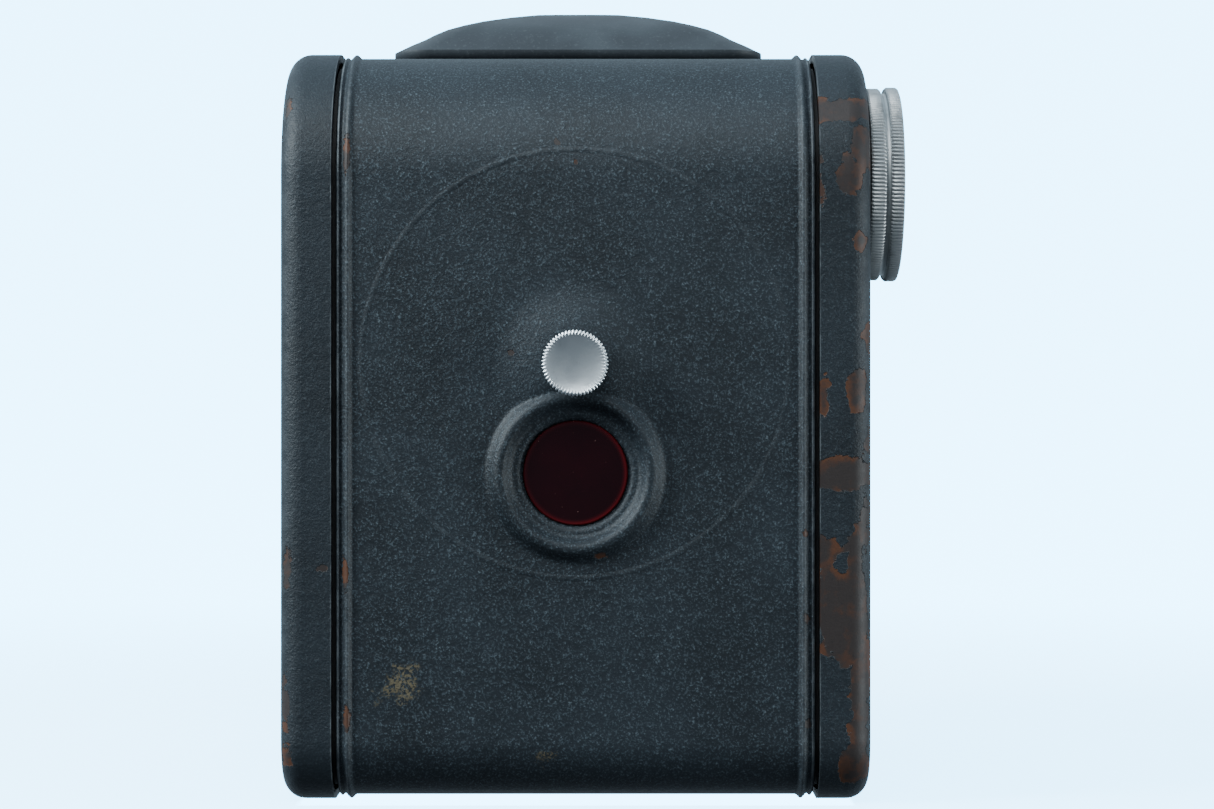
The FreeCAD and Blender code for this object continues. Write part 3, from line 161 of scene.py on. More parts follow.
class Finish:
    """One procedural material on a Principled shader."""

    def __init__(self, name, colour, roughness=0.5, metallic=0.0, **sockets):
        self.material = bpy.data.materials.new(name)
        self.material.use_nodes = True
        self.tree = self.material.node_tree
        self.shader = self.tree.nodes["Principled BSDF"]
        self.set("Base Color", (*colour, 1.0))
        self.set("Roughness", roughness)
        self.set("Metallic", metallic)
        for socket, value in sockets.items():
            self.set(socket.replace("_", " "), value)

    def node(self, kind, inputs=None, **settings):
        """Add any node: its settings first, then the values or links of its sockets."""
        made = self.tree.nodes.new(kind)
        for name, setting in settings.items():
            setattr(made, name, setting)
        for key, value in (inputs or {}).items():
            self.feed(made.inputs[key], value)
        return made

    def feed(self, socket, value):
        """Link a value to a socket, or write it there where it is plain."""
        if isinstance(value, Value):
            value = value.socket
        if isinstance(value, bpy.types.NodeSocket):
            self.tree.links.new(value, socket)
        else:
            socket.default_value = value

    def set(self, name, value):
        """Give the shader's socket of a name its value."""
        self.feed(self.shader.inputs[name], value)

    def place(self, centre=(0, 0, 0)):
        """Object coordinates in millimetres from a centre."""
        source = self.node("ShaderNodeTexCoord").outputs["Object"]
        scale = (1 / MM, 1 / MM, 1 / MM)
        shift = [-value for value in centre]
        node = self.node("ShaderNodeMapping", {"Vector": source, "Scale": scale, "Location": shift})
        return node.outputs["Vector"]

    def axes(self, centre=(0, 0, 0)):
        """The three object coordinates in millimetres from a centre: across, depth and up."""
        split = self.node("ShaderNodeSeparateXYZ", {"Vector": self.place(centre)})
        return [Value(self, output) for output in split.outputs]

    def noise(self, size, detail=3.0, rough=0.5):
        """Cloudy noise whose features are about one size across, in millimetres."""
        inputs = {"Vector": self.place(), "Scale": 1 / size, "Detail": detail, "Roughness": rough}
        return Value(self, self.node("ShaderNodeTexNoise", inputs).outputs["Fac"])

    def mix(self, first, second, factor):
        """A colour between two others, each a tuple or the output of a node."""
        inputs = {"Factor": factor}
        for socket, colour in ((MIX_FIRST, first), (MIX_SECOND, second)):
            inputs[socket] = (*colour, 1.0) if isinstance(colour, tuple) else colour
        return self.node("ShaderNodeMix", inputs, data_type="RGBA").outputs[MIX_RESULT]

    def bump(self, height, depth):
        """Relief of a depth in millimetres where height goes from 0 to 1."""
        return self.node("ShaderNodeBump", {"Height": height, "Distance": depth * MM}).outputs["Normal"]


ENAMEL_DARK = (0.0060, 0.0105, 0.0150)
ENAMEL_LIGHT = (0.0125, 0.0195, 0.0265)
CRYSTAL = (0.074, 0.103, 0.124)
SPECK = (0.22, 0.27, 0.29)
# pale of rubbed enamel, also used for the painted highlight along the door's pressed circle
PALE_WEAR_AND_HIGHLIGHT = (0.26, 0.29, 0.31)
TAN_STAIN = (0.155, 0.125, 0.070)
BARE_BROWN = (0.033, 0.024, 0.022)
BARE_RUST = (0.070, 0.029, 0.016)
BARE_GRIT = (0.016, 0.014, 0.015)
CHIP_BORDER = (0.100, 0.036, 0.015)
NICKEL = (0.62, 0.61, 0.58)
NICKEL_DIRT = (0.05, 0.05, 0.045)
BLACK = (0.012, 0.012, 0.013)
BLACK_DUST = (0.05, 0.052, 0.055)
LACQUER_DARK = (0.028, 0.034, 0.041)
LACQUER_LIGHT = (0.046, 0.056, 0.066)
LACQUER_DUST = (0.10, 0.115, 0.125)
BRASS = (0.42, 0.33, 0.17)
BRASS_TARNISH = (0.10, 0.085, 0.05)
SILVER = (0.85, 0.86, 0.86)
SILVER_SPOT = (0.25, 0.22, 0.18)
RED_DARK = (0.0110, 0.0016, 0.0035)
RED_LIGHT = (0.0190, 0.0018, 0.0038)
# the red of the painted light glowing at the window's rim
RED_PAINTED_RIM_LIGHT = (0.15, 0.005, 0.008)
RED_DUST = (0.22, 0.10, 0.09)


def crystal_enamel(finish, depth=1.0):
    """The colour, roughness and relief of a fine crystalline enamel with pale specks."""
    grain = finish.noise(0.30, detail=2, rough=0.7)
    coarse = finish.noise(1.1, detail=3, rough=0.6)
    clouds = finish.noise(15, detail=3)
    specks = finish.noise(0.30, detail=1).step(0.70, 0.76)
    colour = finish.mix(ENAMEL_DARK, ENAMEL_LIGHT, clouds.step(0.32, 0.68))
    colour = finish.mix(colour, CRYSTAL, grain.step(0.50, 0.66) * (coarse * 1.2 - 0.02) * depth)
    colour = finish.mix(colour, SPECK, specks * coarse.step(0.42, 0.60) * depth * 0.3)
    return colour, 0.46 + coarse * 0.16, grain * 0.5 + coarse * 0.6


def patches(finish, across, up, places, ragged=0.5, size=2.2):
    """Reach into ragged patches, above 0 inside them.

    Each place is (across, up, half width, half height). A coarse and a finer noise move the patches' edges.
    """
    edge = (finish.noise(size, detail=2, rough=0.5) - 0.5) * ragged * 4.5
    edge = edge + (finish.noise(size * 0.3, detail=3, rough=0.65) - 0.5) * ragged * 2
    deepest = None
    for centre_across, centre_up, half_width, half_height in places:
        sideways = (across - centre_across) / half_width
        upwards = (up - centre_up) / half_height
        reach = (sideways ** 2 + upwards ** 2).root()
        inside = (1 - reach) * min(half_width, half_height)
        deepest = inside if deepest is None else deepest.most(inside)
    return deepest + edge


def bare_metal(finish):
    """Browned metal where the enamel has come off: dark, with orange rust in places."""
    stain = finish.noise(2.8, detail=5, rough=0.6)
    grit = finish.noise(0.5, detail=3)
    colour = finish.mix(BARE_BROWN, BARE_RUST, stain.step(0.50, 0.66) * 0.75)
    return finish.mix(colour, BARE_GRIT, grit.step(0.55, 0.75) * 0.5)


def enamel_finish(name, chips=None, edges=None, stains=None, depth=1.0):
    """Crystalline enamel; the functions given make the masks of its bare, rubbed and stained places, and on
    the door also of a painted highlight along the pressed circle.
    """
    finish = Finish(name, ENAMEL_DARK)
    colour, roughness, relief = crystal_enamel(finish, depth)
    normal = finish.bump(relief, 0.40)
    if edges:
        rubbed = edges(finish)
        # on the door this mask also carries a painted highlight along the pressed circle
        colour = finish.mix(colour, PALE_WEAR_AND_HIGHLIGHT, rubbed)
        roughness = roughness - rubbed * 0.12
    if stains:
        colour = finish.mix(colour, TAN_STAIN, stains(finish))
    if chips:
        bare, border = chips(finish)
        patchy = border * finish.noise(3.4, detail=2).step(0.50, 0.60)
        metal = finish.mix(bare_metal(finish), CHIP_BORDER, patchy)
        colour = finish.mix(colour, metal, bare)
        roughness = roughness + bare * 0.02
        normal = finish.bump((1 - bare) * 0.8 + relief * (1 - bare * 0.75), 0.18)
    finish.set("Base Color", colour)
    finish.set("Roughness", roughness)
    finish.set("Normal", normal)
    return finish.material


def nickel_finish(name, colour=NICKEL, roughness=0.28, grime=0.5):
    """Aged nickel with clouded tarnish and dirt."""
    finish = Finish(name, colour, metallic=1.0)
    tarnish = finish.noise(3.0, detail=5, rough=0.6)
    dirt = finish.noise(0.8, detail=4, rough=0.65)
    darker = tuple(channel * 0.45 for channel in colour)
    shade = finish.mix(colour, darker, tarnish.step(0.45, 0.75) * grime)
    shade = finish.mix(shade, NICKEL_DIRT, dirt.step(0.6, 0.78) * grime)
    finish.set("Base Color", shade)
    finish.set("Roughness", roughness + tarnish * 0.25)
    finish.set("Normal", finish.bump(dirt, 0.02))
    return finish.material


def black_finish(name, roughness=0.55):
    """Matt black paint on inner parts, with dust."""
    finish = Finish(name, BLACK, roughness)
    dust = finish.noise(0.6, detail=4, rough=0.6)
    clouds = finish.noise(7, detail=2)
    finish.set("Base Color", finish.mix(BLACK, BLACK_DUST, dust.step(0.55, 0.8) * 0.5))
    finish.set("Roughness", roughness + clouds * 0.2)
    finish.set("Normal", finish.bump(dust, 0.03))
    return finish.material


def satin_finish(name):
    """Smooth satin lacquer of the finder lid, with faint dust."""
    finish = Finish(name, LACQUER_DARK)
    dust = finish.noise(0.5, detail=4, rough=0.6)
    clouds = finish.noise(9, detail=4)
    colour = finish.mix(LACQUER_DARK, LACQUER_LIGHT, clouds.step(0.35, 0.7))
    finish.set("Base Color", finish.mix(colour, LACQUER_DUST, dust.step(0.52, 0.74) * 0.4))
    finish.set("Roughness", 0.44 + dust * 0.16)
    finish.set("Normal", finish.bump(dust, 0.02))
    return finish.material


def brass_finish(name, colour=BRASS):
    """Tarnished brass."""
    finish = Finish(name, colour, metallic=1.0)
    tarnish = finish.noise(2.5, detail=5, rough=0.6)
    finish.set("Base Color", finish.mix(colour, BRASS_TARNISH, tarnish.step(0.4, 0.7) * 0.8))
    finish.set("Roughness", 0.3 + tarnish * 0.35)
    finish.set("Normal", finish.bump(tarnish, 0.02))
    return finish.material


def glass_finish(name):
    """Clear glass with a trace of haze."""
    finish = Finish(name, (0.92, 0.97, 1.0), Transmission_Weight=1.0, IOR=1.52)
    haze = finish.noise(5, detail=4)
    finish.set("Roughness", haze.step(0.5, 0.8) * 0.08 + 0.01)
    return finish.material


def mirror_finish(name):
    """Silvered mirror with spots in the silver."""
    finish = Finish(name, SILVER, metallic=1.0)
    spots = finish.noise(2.2, detail=5, rough=0.7).step(0.66, 0.74)
    finish.set("Base Color", finish.mix(SILVER, SILVER_SPOT, spots * 0.7))
    finish.set("Roughness", 0.03 + spots * 0.3)
    return finish.material


def window_finish(name):
    """Deep red celluloid: almost black in the middle, with painted light at the rim, a brighter red that is
    strongest on the lower right.
    """
    finish = Finish(name, RED_DARK)
    across, _, up = finish.axes(WINDOW)
    reach = (across ** 2 + up ** 2).root()
    # painted light: a brighter red round the rim, strongest on the lower right, stands for light let in
    # through the window's edge
    rim = reach.step(WINDOW_RADIUS - 1.1, WINDOW_RADIUS + 0.05)
    painted_light_side = (across * 0.75 - up * 0.65).step(-5.0, 7.0)
    cloud = finish.noise(3.5, detail=3)
    dust = finish.noise(0.5, detail=1).step(0.74, 0.78) * finish.noise(4).step(0.5, 0.6)
    colour = finish.mix(RED_DARK, RED_LIGHT, cloud)
    colour = finish.mix(colour, RED_PAINTED_RIM_LIGHT, rim * rim * (0.2 + painted_light_side * 0.8))
    finish.set("Base Color", finish.mix(colour, RED_DUST, dust * 0.5))
    finish.set("Roughness", 0.07 + dust * 0.4)
    return finish.material


# ---- chips, rubbed edges and a painted highlight, in millimetres of the camera's own frame ----

# distances of a side cover's rim beside the door, of the start of its rounded outer edge, and of the line
# where that edge is rubbed most, from the middle line
COVER_RIM = 34.6
ROUNDED_EDGE = 39.8
RUBBED_LINE = 41.3


def chipped(reach):
    """A sharp mask of bare metal and a softer one of the rust along its border."""
    return reach.step(-0.04, 0.06), reach.step(1.1, 0.1)


def door_wear_and_circle_highlight(finish):
    """Enamel rubbed thin along the beads and the lips, and a faint painted highlight along the pressed
    circle, broken up by wear noise.
    """
    across, _, up = finish.axes()
    beside = abs(across)
    crest = abs(beside - BEAD).step(0.45, 0.05)
    lip = abs(beside - (LIP + 0.1)).step(0.26, 0.08)
    worn = finish.noise(2.5, detail=4).step(0.40, 0.62)
    reach = (across ** 2 + (up - BLIND.z) ** 2).root()
    # painted highlight: a faint pale line along the pressed circle, broken up by wear noise
    circle = abs(reach - PRESSED_CIRCLE).step(0.60, 0.05) * worn * 0.05
    return (crest * 0.16 + lip * 0.45) * (0.35 + worn * 0.65) + circle


def door_chips(finish):
    """Small bare spots on the back door."""
    across, _, up = finish.axes()
    return chipped(patches(finish, across, up, [
        (-32.4, 92.3, 0.50, 2.6), (-32.6, 33.0, 0.45, 2.2), (-9.1, 64.1, 0.45, 0.45),
        (3.5, 35.4, 0.85, 0.55), (-32.4, 12.5, 0.5, 2.2), (32.6, 38.5, 0.35, 0.5), (32.7, 26.5, 0.4, 0.7),
        (33.0, 11.5, 0.45, 0.7), (-2.6, 94.0, 0.35, 0.5), (0.0, 91.2, 0.30, 0.4),
    ], ragged=0.22, size=0.9))


def door_stains(finish):
    """A tan patch low on the left of the door with its trail, and a small one near the middle."""
    across, _, up = finish.axes()
    reach = patches(finish, across, up, [
        (-24.4, 17.4, 2.5, 3.0), (-26.6, 15.8, 1.8, 0.9), (-28.0, 15.2, 0.6, 0.6), (-3.9, 6.8, 1.2, 1.0),
    ], ragged=0.9, size=1.6)
    grain = finish.noise(0.36, detail=2, rough=0.6).step(0.44, 0.60)
    return reach.step(-0.3, 1.2) * grain * 0.85


def cheek_wear(finish, at_back, at_sides, keep):
    """Join patches that run out a distance from the back with others along the outer rounded edge."""
    across, depth, _ = finish.axes()
    ragged = (finish.noise(5.0, detail=3) - 0.5) * 9
    at_back = at_back.least((CHEEK_LOW.y + keep - depth + ragged) * 0.5)
    at_sides = at_sides.least((abs(across) - ROUNDED_EDGE + ragged * 0.5) * 0.8)
    return chipped(at_back.most(at_sides))


def right_cheek_chips(finish):
    """Large bare places on the right side cover, with islands of paint left in them."""
    across, depth, up = finish.axes()
    bare = patches(finish, across, up, [
        (37.5, 98.6, 9.0, 1.7), (40.8, 93.6, 1.9, 3.6), (38.6, 89.3, 1.8, 2.9), (34.7, 88.3, 0.55, 3.8),
        (40.3, 80.0, 0.8, 0.9), (41.9, 66.0, 0.7, 2.2), (40.0, 59.0, 1.3, 2.9), (35.0, 58.0, 0.6, 1.8),
        (41.8, 52.0, 0.8, 2.8), (38.0, 46.8, 9.0, 2.3), (41.3, 40.0, 1.3, 5.0), (35.2, 36.5, 1.3, 3.2),
        (39.6, 37.0, 1.4, 2.8), (38.2, 28.0, 4.2, 8.6), (40.4, 14.5, 1.6, 10.5), (39.6, 6.0, 2.2, 3.0),
    ], ragged=0.75, size=3.4)
    painted = patches(finish, across, up, [
        (36.9, 40.6, 2.7, 3.2), (37.8, 34.4, 0.9, 1.4), (41.9, 29.5, 0.6, 5.5),
    ], ragged=0.6, size=2.4)
    at_sides = patches(finish, depth, up, [
        (43.0, 101.5, 2.6, 3.4), (43.6, 58.0, 0.9, 4.0), (43.2, 8.0, 2.4, 3.6), (-37.5, 70.0, 1.6, 1.1),
        (-12.0, 80.0, 2.6, 1.0), (18.0, 107.6, 5.0, 0.9), (6.0, 0.8, 7.0, 0.8), (-29.0, 20.0, 1.2, 0.9),
    ], ragged=0.7, size=2.6)
    return cheek_wear(finish, bare.least(painted * -1), at_sides, 7.0)


def left_cheek_chips(finish):
    """Brown spots along the rounded edge of the left side cover, and one pale chip by the seam."""
    across, depth, up = finish.axes()
    at_back = patches(finish, across, up, [
        (-40.8, 33.5, 0.6, 2.8), (-41.2, 14.0, 0.6, 4.0), (-35.6, 33.7, 0.8, 0.55), (-41.0, 7.0, 0.7, 2.0),
        (-40.9, 99.5, 0.4, 1.4), (-39.9, 103.0, 0.35, 0.45),
    ], ragged=0.35, size=1.3)
    at_sides = patches(finish, depth, up, [
        (43.4, 97.0, 0.9, 2.2), (43.5, 22.0, 0.7, 3.0), (42.6, 4.0, 1.8, 2.0), (20.0, 107.9, 3.2, 0.6),
        (-8.0, 0.6, 5.0, 0.6),
    ], ragged=0.6, size=2.4)
    return cheek_wear(finish, at_back, at_sides, 5.0)


def cheek_edges(finish):
    """Rubbed line along the rim that meets the door, and thin paint round the outer edge."""
    across, _, _ = finish.axes()
    beside = abs(across)
    rim = abs(beside - COVER_RIM).step(0.16, 0.02)
    outer = abs(beside - RUBBED_LINE).step(0.9, 0.1)
    worn = finish.noise(3.0, detail=4).step(0.4, 0.62)
    return rim * (0.10 + worn * 0.30) + outer * worn * 0.08


MATERIALS = {
    "door_enamel": enamel_finish("door_enamel", door_chips, door_wear_and_circle_highlight, door_stains),
    "shell_enamel": enamel_finish("shell_enamel"),
    # the side covers get fewer pale crystals than the door, so they read darker: partly their own smoother
    # paint, partly painted shade, most on the left cover
    "enamel": enamel_finish("left_cheek_enamel", left_cheek_chips, cheek_edges, depth=0.3),
    "worn_enamel": enamel_finish("right_cheek_enamel", right_cheek_chips, cheek_edges, depth=0.4),
    "inner_black": black_finish("inner_black"),
    "gate_metal": black_finish("gate_black", roughness=0.4),
    "blind_steel": black_finish("blind_black"),
    "spool_metal": black_finish("spool_black", roughness=0.35),
    "ring_black": black_finish("lens_ring_black", roughness=0.3),
    "lid_satin": satin_finish("lid_satin"),
    "screw_steel": nickel_finish("screw_steel", (0.20, 0.20, 0.21), 0.4),
    "pin_steel": nickel_finish("pin_steel", (0.50, 0.50, 0.50), 0.3),
    "spring_steel": nickel_finish("spring_steel", (0.36, 0.38, 0.42), 0.35),
    "front_nickel": nickel_finish("front_nickel"),
    "knob_nickel": nickel_finish("blind_knob_nickel", (0.92, 0.97, 1.0), 0.25, 0.25),
    "winder_nickel": nickel_finish("winder_nickel", (0.66, 0.68, 0.68), 0.36, 0.6),
    "roller_nickel": nickel_finish("roller_nickel", (0.60, 0.60, 0.60), 0.2, 0.3),
    "lever_nickel": nickel_finish("lever_nickel"),
    "bush_brass": brass_finish("bush_brass"),
    "collar_brass": brass_finish("collar_brass", (0.16, 0.15, 0.10)),
    "mirror_silver": mirror_finish("mirror_silver"),
    "clear_glass": glass_finish("clear_glass"),
    "red_window": window_finish("red_window"),
}


# ---- mesh helpers ----

def add_object(name, data):
    """Put a mesh, a light or a camera into the scene."""
    made = bpy.data.objects.new(name, data)
    bpy.context.scene.collection.objects.link(made)
    return made


def add_mesh(name, mesh, material):
    """Turn a bmesh in metres into an object with a material."""
    data = bpy.data.meshes.new(name)
    mesh.to_mesh(data)
    mesh.free()
    data.materials.append(material)
    return add_object(name, data)


def new_piece(name, mesh, body, slot, replaces=(), smooth=40):
    """Turn a bmesh in millimetres into a finished piece on a body, smooth below an angle in degrees."""
    bmesh.ops.scale(mesh, vec=(MM, MM, MM), verts=mesh.verts)
    piece = add_mesh(name, mesh, MATERIALS[slot])
    piece.data.shade_smooth()
    piece.data.set_sharp_from_angle(angle=math.radians(smooth))
    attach(piece, body)
    if replaces:
        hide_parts(*replaces)
    return piece


def give_gauge(piece):
    """Thicken a piece of sheet inwards to the gauge of the metal."""
    wall = piece.modifiers.new("gauge", "SOLIDIFY")
    wall.thickness = SHEET_GAUGE * MM
    wall.offset = -1


def outward(mesh):
    """Merge doubled points and turn every face outwards."""
    bmesh.ops.remove_doubles(mesh, verts=mesh.verts, dist=1e-4)
    bmesh.ops.recalc_face_normals(mesh, faces=mesh.faces)


def lathe(mesh, profile, axis, centre, steps=96, closed=False):
    """Spin a profile of (distance along the axis, radius) about an axis through a centre."""
    along = Vector([1.0 if letter == axis else 0.0 for letter in "xyz"])
    side = Vector((0, 0, 1)) if axis != "z" else Vector((1, 0, 0))
    start = Vector(centre)
    start[("x", "y", "z").index(axis)] = 0.0
    points = [mesh.verts.new(start + along * distance + side * radius) for distance, radius in profile]
    pairs = list(zip(points, points[1:]))
    if closed:
        pairs.append((points[-1], points[0]))
    edges = [mesh.edges.new(pair) for pair in pairs]
    bmesh.ops.spin(mesh, geom=points + edges, cent=start, axis=along, angle=math.tau, steps=steps,
                   use_merge=True)
    outward(mesh)
    return mesh


def knuckle(mesh, pin, start, end, bore, shoulder, radius):
    """A bored hinge barrel round a pin that runs across, with its ends rounded off."""
    lathe(mesh, [(start, bore), (start, shoulder), (start + 0.2, radius), (end - 0.2, radius),
                 (end, shoulder), (end, bore)], "x", (0, pin.y, pin.z), steps=40, closed=True)


def slab(mesh, size, centre):
    """A plain block of a size about a centre."""
    corners = bmesh.ops.create_cube(mesh, size=1)["verts"]
    bmesh.ops.scale(mesh, vec=size, verts=corners)
    bmesh.ops.translate(mesh, vec=centre, verts=corners)


def spaced(stretches):
    """Positions along a line from stretches of (start, end, spacing)."""
    places = [stretches[0][0]]
    for start, end, spacing in stretches:
        count = max(1, round((end - start) / spacing))
        places += [start + (end - start) * index / count for index in range(1, count + 1)]
    return places


def blend(value, start, end):
    """Smooth step from 0 at start to 1 at end."""
    amount = min(1.0, max(0.0, (value - start) / (end - start)))
    return amount * amount * (3 - 2 * amount)


# ---- the back door ----

HALF_PI = math.pi / 2
# distances up the sheet where its bends end: the top one at the front, the lower one under the base
TOP_END = TOP_START + TOP_ROUND * HALF_PI
BASE_END = BASE_START - BASE_ROUND * HALF_PI
# depth at which the sheet's lip under the base ends
LIP_END = -25.5
RING_HEIGHT = 1.5
HUMP_HEIGHT = 1.15
WELL_DEPTH = 0.35
# spacings of the sheet's grid, finer near the window, over the beads and round the bends
COARSE_UP = 1.6
COARSE_ACROSS = 1.4
FINE = 0.3
BEAD_SPACING = 0.14
LOWER_BEND_SPACING = 0.66
UPPER_BEND_SPACING = 0.8
# where the fine parts of the grid end: across from the middle line, and up the sheet
BEADS_START = 31.2
FINE_ACROSS = 14.4
FINE_FROM = 33.0
FINE_TO = 76.0


def wrap(distance, rise):
    """Depth and height of a point on the bent sheet.

    The distance runs up the sheet and equals the height on its flat back; rise is measured outwards.
    """
    if distance > TOP_START:
        past, bend, corner, way = distance - TOP_START, TOP_ROUND, TOP_START, 1
    elif distance < BASE_START:
        past, bend, corner, way = BASE_START - distance, BASE_ROUND, BASE_START, -1
    else:
        return (BACK_FLAT - rise, distance)
    turn = min(past / bend, HALF_PI)
    beyond = past - turn * bend
    radius = bend + rise
    depth = BACK_FLAT + bend - radius * math.cos(turn) + beyond
    return (depth, corner + way * radius * math.sin(turn))


def bead_rise(beside):
    """Section of the rolled bead, groove and lip along each edge of the door."""
    bead = 0.56 * (1 - blend(abs(beside - BEAD), 0.0, 0.78))
    groove = -0.14 * (1 - blend(abs(beside - GROOVE), 0.0, 0.35))
    lip = 0.16 * (1 - blend(abs(beside - LIP), 0.0, 0.3))
    edge = -0.35 * blend(beside, DOOR_EDGE - 0.25, DOOR_EDGE) ** 2
    return bead + groove + lip + edge


def pressing_rise(across, height):
    """The ring and the sunk seat round the window, and the hump under the blind knob."""
    reach = math.hypot(across - WINDOW.x, height - WINDOW.z)
    from_knob = math.hypot(across - BLIND.x, height - BLIND.z)
    outer = 1 - blend(reach, 10.9, 13.0)
    inner = blend(reach, 8.8, 10.5)
    ring = RING_HEIGHT * min(outer, inner)
    hump = HUMP_HEIGHT * (1 - blend(from_knob, 3.8, 12.0)) * blend(reach, 8.4, 13.0)
    well = WELL_DEPTH * (1 - blend(reach, 7.7, 8.3))
    return max(ring, hump) - well


def grid_of(columns, rows):
    """A flat grid whose lines stand at given places across and up the sheet."""
    mesh = bmesh.new()
    bmesh.ops.create_grid(mesh, x_segments=len(columns) - 1, y_segments=len(rows) - 1, size=1)
    for vert in mesh.verts:
        column = round((vert.co.x + 1) / 2 * (len(columns) - 1))
        row = round((vert.co.y + 1) / 2 * (len(rows) - 1))
        vert.co = (columns[column], rows[row], 0)
    return mesh


def cut_hole(mesh):
    """Take out the faces in front of the window and draw the edge left onto a circle."""
    centre = Vector((WINDOW.x, WINDOW.z))
    inside = [face for face in mesh.faces if (face.calc_center_median().xy - centre).length < HOLE_RADIUS]
    bmesh.ops.delete(mesh, geom=inside, context="FACES")
    for vert in mesh.verts:
        offset = vert.co.xy - centre
        if vert.is_boundary and offset.length < HOLE_RADIUS + 1.5:
            vert.co.xy = centre + offset.normalized() * HOLE_RADIUS


def face_backwards(mesh):
    """Turn the faces of the open sheet outwards, judged by one on the flat back."""
    bmesh.ops.recalc_face_normals(mesh, faces=mesh.faces)
    flat = Vector((25, BACK_FLAT, 60))
    judge = min(mesh.faces, key=lambda face: (face.calc_center_median() - flat).length)
    if judge.normal.y > 0:
        bmesh.ops.reverse_faces(mesh, faces=mesh.faces)


def make_door():
    """The bent sheet of the door as one fine grid, with a hole for the window, thickened inwards."""
    columns = spaced([(-DOOR_EDGE, -BEADS_START, BEAD_SPACING), (-BEADS_START, -FINE_ACROSS, COARSE_ACROSS),
                      (-FINE_ACROSS, FINE_ACROSS, FINE), (FINE_ACROSS, BEADS_START, COARSE_ACROSS),
                      (BEADS_START, DOOR_EDGE, BEAD_SPACING)])
    start = BASE_END - (LIP_END - BACK_FLAT - BASE_ROUND)
    end = TOP_END + (high("back_door").y - BACK_FLAT - TOP_ROUND)
    rows = spaced([(start, BASE_END, COARSE_UP), (BASE_END, BASE_START, LOWER_BEND_SPACING),
                   (BASE_START, FINE_FROM, COARSE_UP), (FINE_FROM, FINE_TO, FINE),
                   (FINE_TO, TOP_START, COARSE_UP), (TOP_START, TOP_END, UPPER_BEND_SPACING),
                   (TOP_END, end, COARSE_UP)])
    mesh = grid_of(columns, rows)
    cut_hole(mesh)
    for vert in mesh.verts:
        across, distance, _ = vert.co
        rise = bead_rise(abs(across)) + pressing_rise(across, distance)
        vert.co = (across, *wrap(distance, rise))
    face_backwards(mesh)
    give_gauge(new_piece("door_sheet", mesh, "door", "door_enamel", ["back_door"]))


def make_door_line():
    """The fine raised circle pressed into the door round the blind's spindle."""
    mesh = bmesh.new()
    section = [(-0.55, 0.0), (-0.25, 0.06), (0.0, 0.085), (0.25, 0.06), (0.55, 0.0)]
    points = [mesh.verts.new((PRESSED_CIRCLE + offset, 0, rise)) for offset, rise in section]
    edges = [mesh.edges.new(pair) for pair in zip(points, points[1:])]
    bmesh.ops.spin(mesh, geom=points + edges, cent=(0, 0, 0), axis=(0, 0, 1), angle=math.tau, steps=256,
                   use_merge=True)
    for vert in mesh.verts:
        across, distance, rise = vert.co
        vert.co = (across, *wrap(BLIND.z + distance, rise - 0.015))
    outward(mesh)
    new_piece("door_pressed_circle", mesh, "door", "door_enamel")


def make_door_knuckles():
    """The two knuckles of the door and the webs that join them to its sheet."""
    pin = middle("door_hinge_pin")
    mesh = bmesh.new()
    for start, end in ((-16, -6), (6, 16)):
        knuckle(mesh, pin, start, end, bore=0.86, shoulder=1.5, radius=1.7)
        centre = ((start + end) / 2, pin.y - 1.6, BASE_FLAT + SHEET_GAUGE / 2)
        slab(mesh, (end - start, 2.6, SHEET_GAUGE), centre)
    new_piece("door_knuckles", mesh, "door", "door_enamel")


def make_red_window():
    """The red disc of the window, a little domed on its outer side."""
    back = low("red_window").y
    front = high("red_window").y
    mesh = bmesh.new()
    lathe(mesh, [(front, 0.0), (front, WINDOW_RADIUS - 0.05), (back + 0.25, WINDOW_RADIUS),
                 (back + 0.02, WINDOW_RADIUS - 0.18), (back - 0.08, 5.0), (back - 0.12, 0.0)],
          "y", WINDOW, steps=128)
    new_piece("red_window_disc", mesh, "door", "red_window", ["red_window"])


# ---- knobs ----

WINDER_TEETH = 158
WINDER_TOOTH_DEPTH = 0.22
# along the winding knob, where the groove between its two coin-edge bands starts and ends
WINDER_GROOVE = (2.3, 2.9)
BLIND_TEETH = 56
BLIND_TOOTH_DEPTH = 0.34
BLIND_HEAD = 4.1
BLIND_SPINDLE = 1.5
KNOB_SMOOTH = 30


def knurl(mesh, axis, centre, teeth, bands, depth, inside=0.0):
    """Cut fine straight teeth into a turned piece, in given bands along it and beyond a radius."""
    order = "xyz".index(axis)
    centre = Vector(centre)
    for vert in mesh.verts:
        along = vert.co[order]
        if any(start <= along <= end for start, end in bands):
            offset = vert.co - centre
            offset[order] = 0.0
            angle = math.atan2(*[offset[index] for index in range(3) if index != order])
            phase = (angle / math.tau * teeth) % 1.0
            dip = depth * abs(2 * phase - 1) ** 2
            if offset.length > inside:
                vert.co -= offset.normalized() * dip


